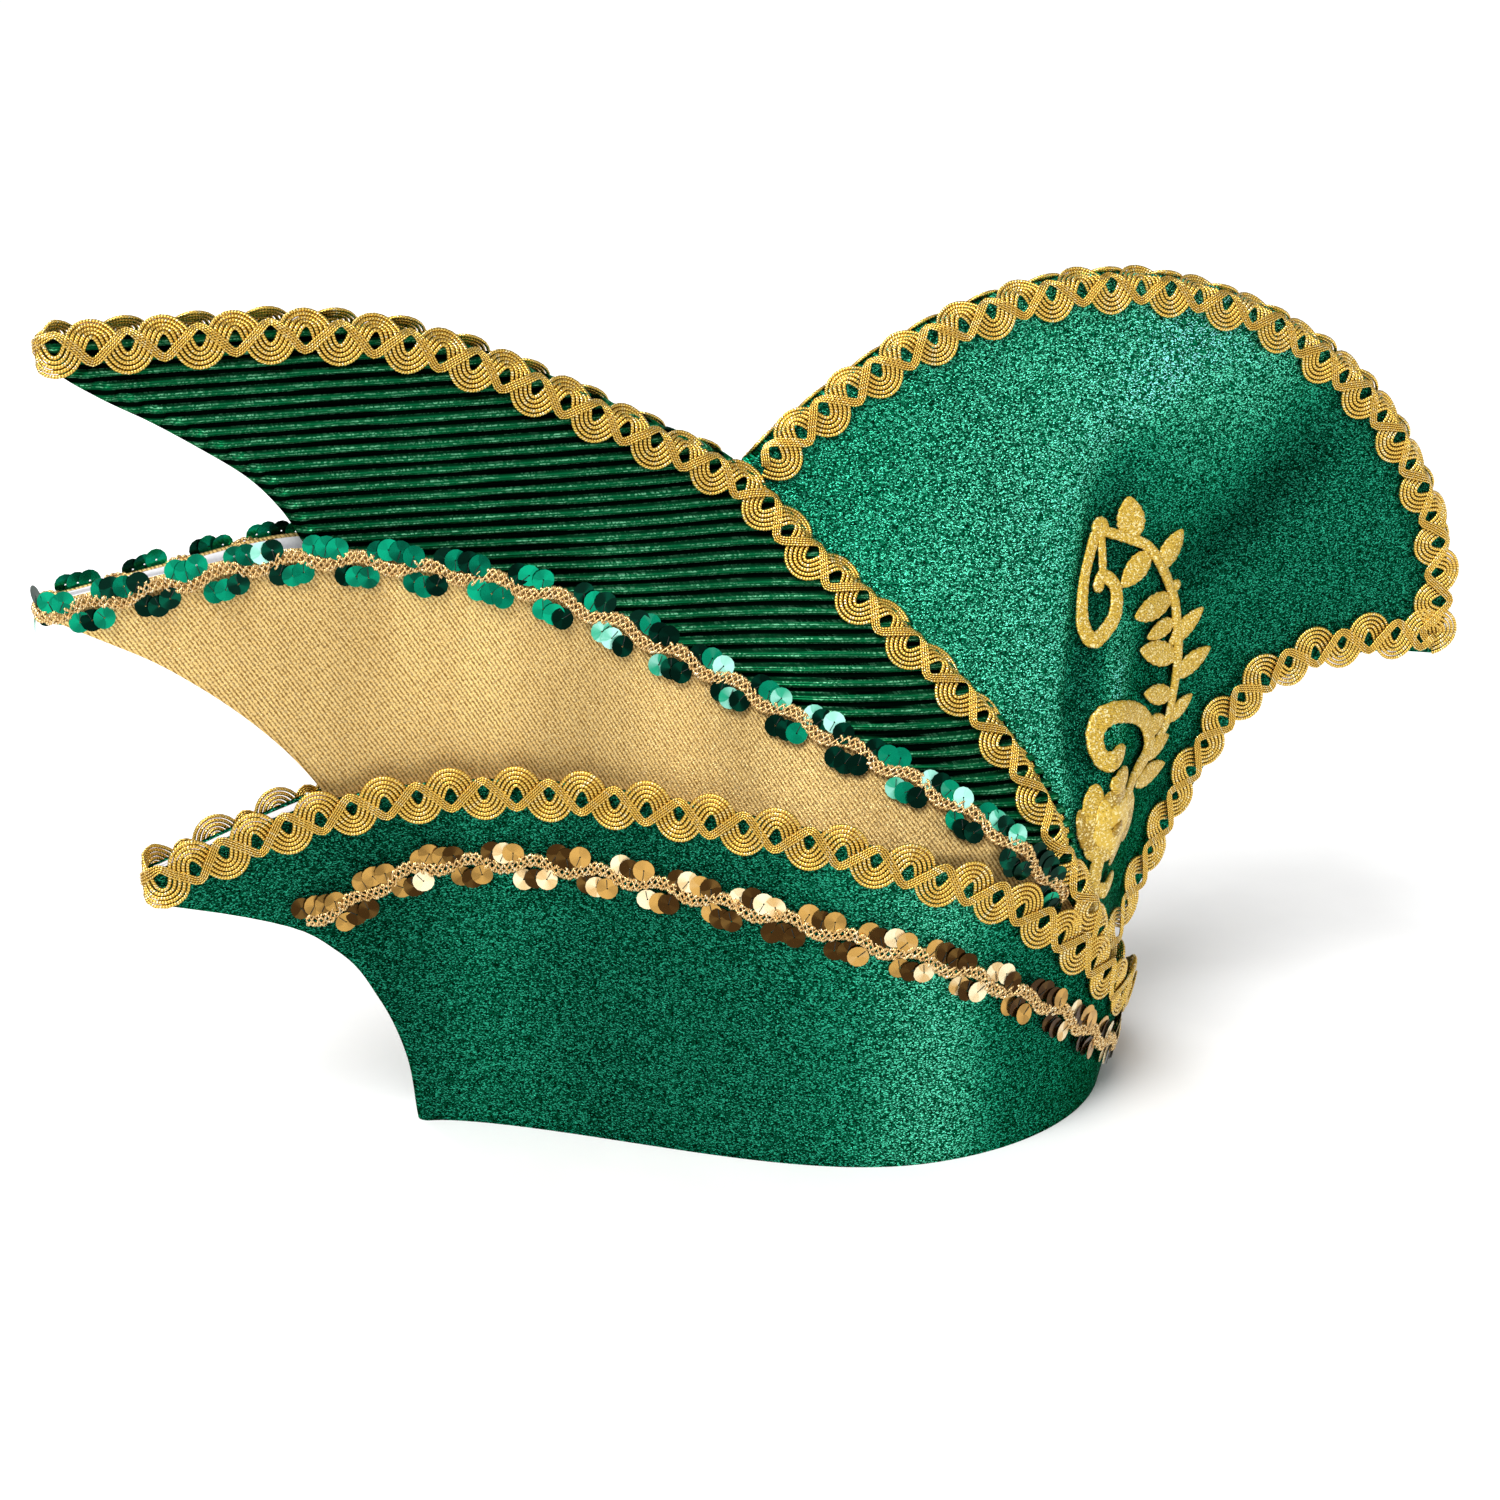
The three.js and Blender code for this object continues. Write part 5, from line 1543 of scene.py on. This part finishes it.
def beside(edge: SideCurve, share: Array, drop: Array | float) -> tuple[Array, Array]:
    """Shares of the crest's panel along a line beside one of its edges.

    Args:
        edge: The edge in the side view.
        share: Shares of its length, in an order that keeps the panel on the right.
        drop: How far the line lies from the edge.

    Returns:
        Shares across and up the panel.
    """
    line = edge(share)
    run = unit(np.gradient(line, axis=0))
    inward = np.stack([run[:, 1], -run[:, 0]], axis=-1)
    return FORM.crest_shares(line + inward * np.reshape(drop, (-1, 1)))


def crest_braid_runs() -> tuple[Run, Run]:
    """Right-hand lines of the crest's braid: over the arc to the beak, and down the front edge."""
    drop, arc_drop, past, bend = 4.5, 2.6, 4.0, math.radians(45)
    arc_start, arc_end, easing, unbending = 0.015, 0.995, (0.75, 0.95), (0.8, 0.97)
    head, foot, inset, lowest_more, beak_less = 0.985, 0.1, 4.0, 0.6, 2.6
    low, lowest, beak = (0.3, 0.8), (0.15, 0.4), (0.85, 0.97)
    turn_share, turn_lift, tangent_from = 0.3, 2.5, -9
    share = np.linspace(arc_start, arc_end, 260)
    arc_shares = beside(FORM.crest_arc, share, arc_drop + (drop - arc_drop) * smoothstep(share, *easing))
    over = bend * falling(share, *unbending)
    points, outward = FORM.crest_point(*arc_shares), FORM.crest_outward(*arc_shares)
    onward = unit(points[-1:] - points[tangent_from:tangent_from + 1])
    points = np.concatenate([points, points[-1:] + onward * past])
    arc = Run(points, np.concatenate([outward, outward[-1:]]), bend=np.append(over, over[-1]))
    share = np.linspace(head, foot, 200)
    lowness = falling(share, *low)
    inward = drop + inset * (lowness + lowest_more * falling(share, *lowest))
    front_shares = beside(FORM.crest_front, share, inward - beak_less * smoothstep(share, *beak))
    outward = FORM.crest_outward(*front_shares)
    turned = turn_share * lowness[:, None]
    facing = unit(outward * (1 - turned) + np.array([0.0, -1.0, 0.0]) * turned)
    return arc, Run(FORM.crest_point(*front_shares) + outward * (turn_lift * turned), facing)


@dataclass
class SequinString:
    """A string of sequins: groups of discs by turns above and below a crocheted gold cord."""

    name: str
    node: str
    node_slot: str
    finish: SequinFinish
    seed: int
    pitch: float = 20.4
    disc_half: float = 3.4
    hole_half: float = 0.28
    film: float = 0.14
    segments: int = 14
    spacing: float = 3.6
    stray: float = 0.5
    upper: float = 3.4
    lower: float = -4.1
    scatter: float = 0.8
    bow: float = 0.5
    bow_reach: float = 1.5
    tips: tuple[float, float] = (2, 10)
    lean: float = 9
    base_lift: float = 1.2
    disc_lift: float = 0.55
    overlap: float = 0.22
    cord_reach: float = 1.5
    cord_half: float = 0.62
    cord_sides: int = 5
    cord_step: float = 0.6
    strands: int = 4
    strand_reach: float = 1.75
    strand_lift: float = 0.75
    strand_over: float = 0.55
    plait: float = 7.4

    def disc(self) -> tuple[Array, list[list[int]], Array]:
        """One disc with its hole, slightly dished.

        Returns:
            Its points in millimetres, its faces and its map of radius and turn.
        """
        dish = 0.05
        bm = bmesh.new()
        rims = []
        for radius in (self.disc_half, self.hole_half):
            made = bmesh.ops.create_circle(bm, segments=self.segments, radius=radius, cap_ends=False)
            rims.extend(dict.fromkeys(edge for vert in made["verts"] for edge in vert.link_edges))
        bmesh.ops.bridge_loops(bm, edges=rims)
        bmesh.ops.solidify(bm, geom=bm.faces[:], thickness=self.film)
        bmesh.ops.recalc_face_normals(bm, faces=bm.faces[:])
        order = sorted(bm.verts, key=lambda vert: tuple(round(value, 4) for value in vert.co))
        number = {vert: i for i, vert in enumerate(order)}
        points = np.array([vert.co for vert in order])
        loops = [[number[vert] for vert in face.verts] for face in bm.faces]
        starts = [loop.index(min(loop)) for loop in loops]
        faces = sorted(loop[start:] + loop[:start] for loop, start in zip(loops, starts))
        bm.free()
        radius = np.hypot(points[:, 0], points[:, 1])
        points[:, 2] += dish * (radius / self.disc_half) ** 2
        return points, faces, np.stack([radius, np.arctan2(points[:, 1], points[:, 0]) % np.pi], axis=-1)

    def tone_at(self, draw: np.random.RandomState, x: float) -> float:
        """Draws a disc's tone of painted reflection, which is plain more often towards the tail.

        Args:
            draw: The string's own random numbers.
            x: The disc's place along the cap.

        Returns:
            A dark, plain or pale tone.
        """
        tail_x, front_x = -190.0, -20.0
        front = float(smoothstep(x, tail_x, front_x))
        dark, pale = 0.2 + 0.26 * front, 0.02 + 0.2 * front
        plain = draw.uniform(0.24, 0.46) + 0.16 * front
        tones = [draw.uniform(0, 0.12), plain, draw.uniform(0.75, 1.0)]
        return draw.choice(tones, p=[dark, 1 - dark - pale, pale])

    def add_stitch(self, bundle: Bundle, middle: Array, normal: Array, out: Array) -> None:
        """Adds the thread that runs from a disc's hole over its face to the cord."""
        above, sunk, size, sides = 0.32, 0.25, (0.14, 0.1), 3
        path = middle + normal * above + out * np.array([[0.0], [1.4], [2.9]])
        path[0] -= normal * sunk
        count = len(path)
        across, lift = np.tile(np.cross(normal, out), (count, 1)), np.tile(normal, (count, 1))
        bundle.add_tube(path, across, lift, size, sides, closed=False, material=1)

    def lay_discs(self, run: Run, bundle: Bundle) -> None:
        """Lays the groups of discs along a run."""
        least, most, swing = 3, 4, 0.7
        draw = np.random.RandomState(self.seed)
        shape, faces, uv = self.disc()
        turns = round(run.length / self.pitch)
        pitch = run.length / turns
        for group in range(2 * turns):
            above = group % 2 == 0
            side = 1 if above else -1
            count = draw.randint(least, most + 1) if above else least
            centre = (group + 0.5) * pitch / 2
            for k in range(count):
                off = k - (count - 1) / 2
                u = centre + off * self.spacing + draw.uniform(-self.stray, self.stray)
                v = (self.upper if above else self.lower) + draw.uniform(-self.scatter, self.scatter)
                v = v + side * self.bow * (1 - (off / self.bow_reach) ** 2)
                point, along, up, lift = (part[0] for part in run.frame_at(np.array([u])))
                tip = math.radians(draw.uniform(*self.tips))
                lean = math.radians(draw.uniform(-self.lean, self.lean))
                normal = unit(lift * math.cos(tip) + along * math.sin(tip) + up * math.sin(lean))
                first = unit(along - normal * np.dot(along, normal))
                second = np.cross(normal, first)
                middle = point + up * v + lift * (self.base_lift + self.disc_lift + self.overlap * k)
                turn = draw.uniform(0, 2 * np.pi)
                x = shape[:, :1] * math.cos(turn) - shape[:, 1:2] * math.sin(turn)
                y = shape[:, :1] * math.sin(turn) + shape[:, 1:2] * math.cos(turn)
                placed = middle + x * first + y * second + shape[:, 2:] * normal
                bundle.add(placed, faces, uv, tone=self.tone_at(draw, point[0]), smooth=False)
                thread = draw.uniform(-swing, swing) - side * np.pi / 2
                out = first * math.cos(thread) + second * math.sin(thread)
                self.add_stitch(bundle, middle, normal, out)

    def lay_cord(self, run: Run, bundle: Bundle) -> None:
        """Lays the crocheted cord: strands plaited along a gentle zigzag."""
        turns = round(run.length / self.pitch)
        pitch = run.length / turns
        u = np.arange(0, run.length, self.cord_step)
        sway = -self.cord_reach * np.cos(2 * np.pi * (u / pitch) - np.pi / 2)
        point, _, up, lift = run.frame_at(u)
        size = (self.cord_half, self.cord_half)
        for k in range(self.strands):
            phase = 2 * np.pi * (u / self.plait + k / self.strands)
            v = sway + self.strand_reach * np.sin(phase)
            w = self.base_lift + self.strand_lift + self.strand_over * np.sin(2 * phase + k)
            path = point + up * v[:, None] + lift * w[:, None]
            bundle.add_tube(path, up, lift, size, self.cord_sides, closed=False, material=2)

    def build(self, run: Run) -> None:
        """Makes the string as a piece."""
        bundle = Bundle()
        self.lay_discs(run, bundle)
        self.lay_cord(run, bundle)
        finishes = (self.finish.material(), STITCH.material(), GIMP_CORD.material())
        add_piece(bundle.mesh(self.name), self.node_slot, self.node, *finishes)


@dataclass
class Applique:
    """Gold embroidered vine on the crest, drawn in the side view as padded ribbons, leaves and buds.

    A ribbon is its width, its height and its points; a leaf is x, z, length, angle in degrees and width; a
    bud, like the rose, is x, z, half its length and half its height.
    """

    lift: float = 1.0
    plump: float = 1.26
    section: int = 9
    ribbons: tuple[tuple[float, float, tuple[tuple[float, float], ...]], ...] = (
        (3.0, 1.5, ((109, 180), (120, 176), (127.5, 171.5), (137, 155.5), (139, 146), (139.3, 133),
                    (137.5, 119.8), (135, 112), (128.2, 106.8))),
        (3.8, 1.3, ((107, 180), (100, 166), (98.3, 154), (101.5, 148.5), (110, 153.5), (112.4, 162),
                    (108, 166.5), (105, 162))),
        (2.4, 1.2, ((109, 179), (108.6, 172), (108, 166))),
        (5.2, 1.5, ((115.8, 102.8), (124, 105.9), (125.7, 111.8), (121.3, 119.5), (110.3, 126),
                    (101.7, 127.3), (97.1, 123.4), (96.5, 118.4), (99, 114.3), (103.7, 114.8),
                    (106.9, 116.8))),
        (4.4, 1.4, ((117, 103.4), (111.7, 100.4), (107, 98))),
        (4.6, 1.5, ((94.5, 88), (92.7, 81), (92.3, 73.9), (93.2, 66.6), (96, 58))),
        (2.4, 1.2, ((93, 76.5), (95.5, 75.8), (98, 75))),
    )
    leaves: tuple[tuple[float, float, float, float, float], ...] = (
        (120.5, 175.5, 14, 92, 8.4), (130.5, 165, 15, 50, 6.4), (127, 171, 15, -144, 6.4),
        (137, 154, 18, -174, 7), (138, 146, 13, -170, 5), (136, 139, 17, 35, 5), (139, 134, 19, 158, 6.5),
        (138.5, 127.5, 17, 24, 6), (137.4, 121.4, 15.2, 160, 5.5), (135.9, 112.9, 13.4, 28, 5),
        (123, 113.6, 11.6, 6, 6), (123.5, 105.2, 14.3, 9, 6), (118, 98.6, 19, -3, 6))
    buds: tuple[tuple[float, float, float, float], ...] = (
        (108.8, 181, 3.2, 3.4), (138.5, 158, 2, 2), (105, 107, 5.4, 3.8), (100.5, 73.6, 5.6, 3.3))
    rose: tuple[float, float, float, float] = (101, 94.2, 19, 11.2)
    rose_tilt: float = -0.38

    def relief(self, bundle: Bundle, line: Array, halves: Array, height: Array | float, base: float = 0.0,
               tone: float = 0.5) -> None:
        """Adds one padded shape along a line in the side view.

        Args:
            bundle: Where the shape goes.
            line: Places of x and z along its middle.
            halves: Half of its width at each place.
            height: How far its middle stands up at each place.
            base: How far its edge stands off the cloth.
            tone: How light its thread is.
        """
        foot, shoulder, roundness, uneven, uneven_turn = 0.7, 0.35, 0.7, 0.05, 2.4
        run = unit(np.gradient(line, axis=0))
        square = np.stack([-run[:, 1], run[:, 0]], axis=-1)
        angle = np.linspace(0, np.pi, self.section)
        sides = np.concatenate([np.cos(angle), [-foot, foot]])
        crown = shoulder + (1 - shoulder) * np.sin(angle) ** roundness
        tops = np.concatenate([crown, [0.0, 0.0]])
        ripple = 1 + uneven * np.sin(np.arange(len(line)) * uneven_turn)
        places = line[:, None] + square[:, None] * (halves * ripple)[:, None, None] * sides[None, :, None]
        heights = base + np.broadcast_to(height, halves.shape)[:, None] * tops[None]
        flat = places.reshape(-1, 2)
        shares = FORM.crest_shares(flat)
        lift = FORM.crest_outward(*shares) * (self.lift + heights.reshape(-1, 1))
        points = FORM.crest_point(*shares) + lift
        bundle.add(points, tube_faces(len(line), len(sides), closed=False), flat, tone)

    def ellipse(self, bundle: Bundle, x: float, z: float, along: float, half: float, angle: float,
                height: float, base: float = 0.0, tone: float = 0.5) -> None:
        """Adds a padded oval about a point, its long half turned by an angle in radians."""
        least, rim = 0.15, 0.4
        t = np.cos(np.linspace(0, np.pi, 15))
        line = np.stack([x + along * t * math.cos(angle), z + along * t * math.sin(angle)], axis=-1)
        halves = np.maximum(half * np.sqrt(np.maximum(0, 1 - t ** 2)), least)
        self.relief(bundle, line, halves, height * (rim + (1 - rim) * halves / half), base, tone)

    def draw_ribbon(self, bundle: Bundle, width: float, height: float,
                    points: tuple[tuple[float, float], ...]) -> None:
        """Adds a stem or a scroll with blunt ends."""
        step, fewest, blunt, swell = 1.3, 8, 0.25, 0.12
        curve = SideCurve(*points)
        t = np.linspace(0, 1, max(fewest, int(curve.length / step)))
        ends = np.minimum(1, np.minimum(t, 1 - t) * curve.length / (width / 2) + blunt)
        halves = self.plump * width / 2 * (1 - swell + swell * np.sin(np.pi * t)) * np.sqrt(ends)
        self.relief(bundle, curve(t), halves, height)

    def draw_leaf(self, bundle: Bundle, x: float, z: float, length: float, angle: float,
                  width: float) -> None:
        """Adds a leaf that grows from a point at an angle in degrees."""
        stalk, tip, lead, fullness, least, rim = 0.02, 0.985, 0.85, 0.62, 0.2, 0.5
        turn = math.radians(angle)
        t = np.linspace(0, 1, 16)
        line = np.stack([x + length * t * math.cos(turn), z + length * t * math.sin(turn)], axis=-1)
        halves = self.plump * width / 2 * np.sin(np.pi * np.clip(t, stalk, tip) ** lead) ** fullness
        self.relief(bundle, line, np.maximum(halves, least), rim + halves / halves.max())

    def draw(self) -> Bundle:
        """Gathers the whole vine on the right-hand panel."""
        bundle = Bundle()
        for ribbon in self.ribbons:
            self.draw_ribbon(bundle, *ribbon)
        for leaf in self.leaves:
            self.draw_leaf(bundle, *leaf)
        for x, z, across, up in self.buds:
            self.ellipse(bundle, x, z, across, up, angle=0.0, height=1.6)
        self.draw_rose(bundle)
        return bundle

    def draw_rose(self, bundle: Bundle) -> None:
        """Adds the rose: two rings of petals round a raised heart."""
        x, z, across, up = self.rose
        contrast, slim = 0.3, 0.9
        rings = ((7, 0.66, 0.42, 1.1, 0.0, 0.0, 0.2), (5, 0.36, 0.34, 0.9, 0.6, 0.4, 0.75))
        for count, reach, size, height, base, start, tone in rings:
            for k in range(count):
                turn = start + 2 * math.pi * k / count
                along, square = across * reach * math.cos(turn), up * reach * math.sin(turn)
                px = x + along * math.cos(self.rose_tilt) - square * math.sin(self.rose_tilt)
                pz = z + along * math.sin(self.rose_tilt) + square * math.cos(self.rose_tilt)
                light = tone + contrast * (k % 2)
                self.ellipse(bundle, px, pz, across * size, up * size * slim, turn + math.pi / 2, height,
                             base, light)
        self.ellipse(bundle, x, z, along=2.6, half=2.4, angle=0.3, height=1.0, base=1.1, tone=0.1)

    def build(self) -> None:
        """Makes the vine on both sides of the crest."""
        material = EmbroideryFinish().material()
        bundle = self.draw()
        for side in Side:
            if side is Side.LEFT:
                bundle.points = [mirrored(part) for part in bundle.points]
            name = side.name.lower()
            add_piece(bundle.mesh(f"vine_{name}"), "gold_embroidery", f"crest_applique_{name}", material)


@dataclass(frozen=True)
class SoftLight:
    """A soft box that faces the cap."""

    name: str
    place: Rgb
    size: float
    watts: float


@dataclass
class Studio:
    """Pale floor, soft boxes and the camera at the photograph's angle."""

    target: Rgb = (-0.01375, 0.0, 0.112)
    azimuth: float = math.radians(-18)
    elevation: float = math.radians(19)
    distance: float = 1.1
    lens: float = 83.16
    lights: tuple[SoftLight, ...] = (
        SoftLight("fill", (1.3, -1.0, 0.5), 0.6, 3.0),
        SoftLight("rear", (-0.4, 1.6, 1.1), 0.9, 14.0),
    )
    sun_from: Rgb = (-0.55, -0.5, 1.0)
    sun_spread: float = math.radians(40)
    sun_power: float = 3.4
    glow: float = 0.42
    floor_half: float = 20.0
    sensor: float = 36.0

    def build(self) -> None:
        """Sets up the stage."""
        bm = bmesh.new()
        bmesh.ops.create_grid(bm, x_segments=1, y_segments=1, size=self.floor_half)
        mesh = bpy.data.meshes.new("floor")
        bm.to_mesh(mesh)
        bm.free()
        mesh.materials.append(FLOOR.material())
        floor = add_object("floor", mesh)
        world = bpy.data.worlds.new("studio")
        world.use_nodes = True
        background = world.node_tree.nodes["Background"]
        background.inputs["Color"].default_value = (1.0, 1.0, 1.0, 1.0)
        background.inputs["Strength"].default_value = self.glow
        bpy.context.scene.world = world
        bpy.context.scene.view_settings.view_transform = "Standard"
        for light in self.lights:
            self.add_light(light)
        self.add_sun()
        self.add_camera()

    def add_light(self, light: SoftLight) -> None:
        """Adds one soft box."""
        data = bpy.data.lights.new(light.name, "AREA")
        data.energy = light.watts
        data.size = light.size
        lamp = add_object(light.name, data)
        lamp.location = light.place
        facing = Vector(light.place) - Vector(self.target)
        lamp.rotation_euler = facing.to_track_quat("Z", "Y").to_euler()

    def add_sun(self) -> None:
        """Adds the main light, wide and even over the whole floor."""
        data = bpy.data.lights.new("key", "SUN")
        data.energy = self.sun_power
        data.angle = self.sun_spread
        lamp = add_object("key", data)
        lamp.rotation_euler = Vector(self.sun_from).to_track_quat("Z", "Y").to_euler()

    def add_camera(self) -> None:
        """Adds the camera and makes it the scene's."""
        data = bpy.data.cameras.new("camera")
        data.lens = self.lens
        data.sensor_width = self.sensor
        camera = add_object("camera", data)
        back = Vector((math.sin(self.azimuth) * math.cos(self.elevation),
                       -math.cos(self.azimuth) * math.cos(self.elevation), math.sin(self.elevation)))
        camera.location = Vector(self.target) + back * self.distance
        camera.rotation_euler = back.to_track_quat("Z", "Y").to_euler()
        bpy.context.scene.camera = camera


def main() -> None:
    """Builds the cap piece by piece."""
    logging.basicConfig(level=logging.INFO, format="%(name)s: %(message)s")
    Studio().build()
    BASE.build()
    MIDDLE.build()
    PleatedWing().build()
    FrontCrest().build()
    braid = ScrollBraid()
    braid.build("braid_base", "base_braid", base_braid_run())
    braid.build("braid_wing", "wing_braid", wing_braid_run())
    crest_runs = crest_braid_runs()
    braid.build("braid_crest_right", "crest_braid_right", *crest_runs)
    braid.build("braid_crest_left", "crest_braid_left", *(run.flipped() for run in crest_runs))
    green = SequinString("sequins_middle", "middle_sequins", "green_sequins", GREEN_SEQUINS, seed=7)
    green.build(middle_sequin_run())
    gold = SequinString("sequins_base", "base_sequins", "gold_sequins", GOLD_SEQUINS, seed=11)
    gold.build(base_sequin_run())
    Applique().build()
    bpy.context.view_layer.update()


if __name__ == "__main__":
    main()
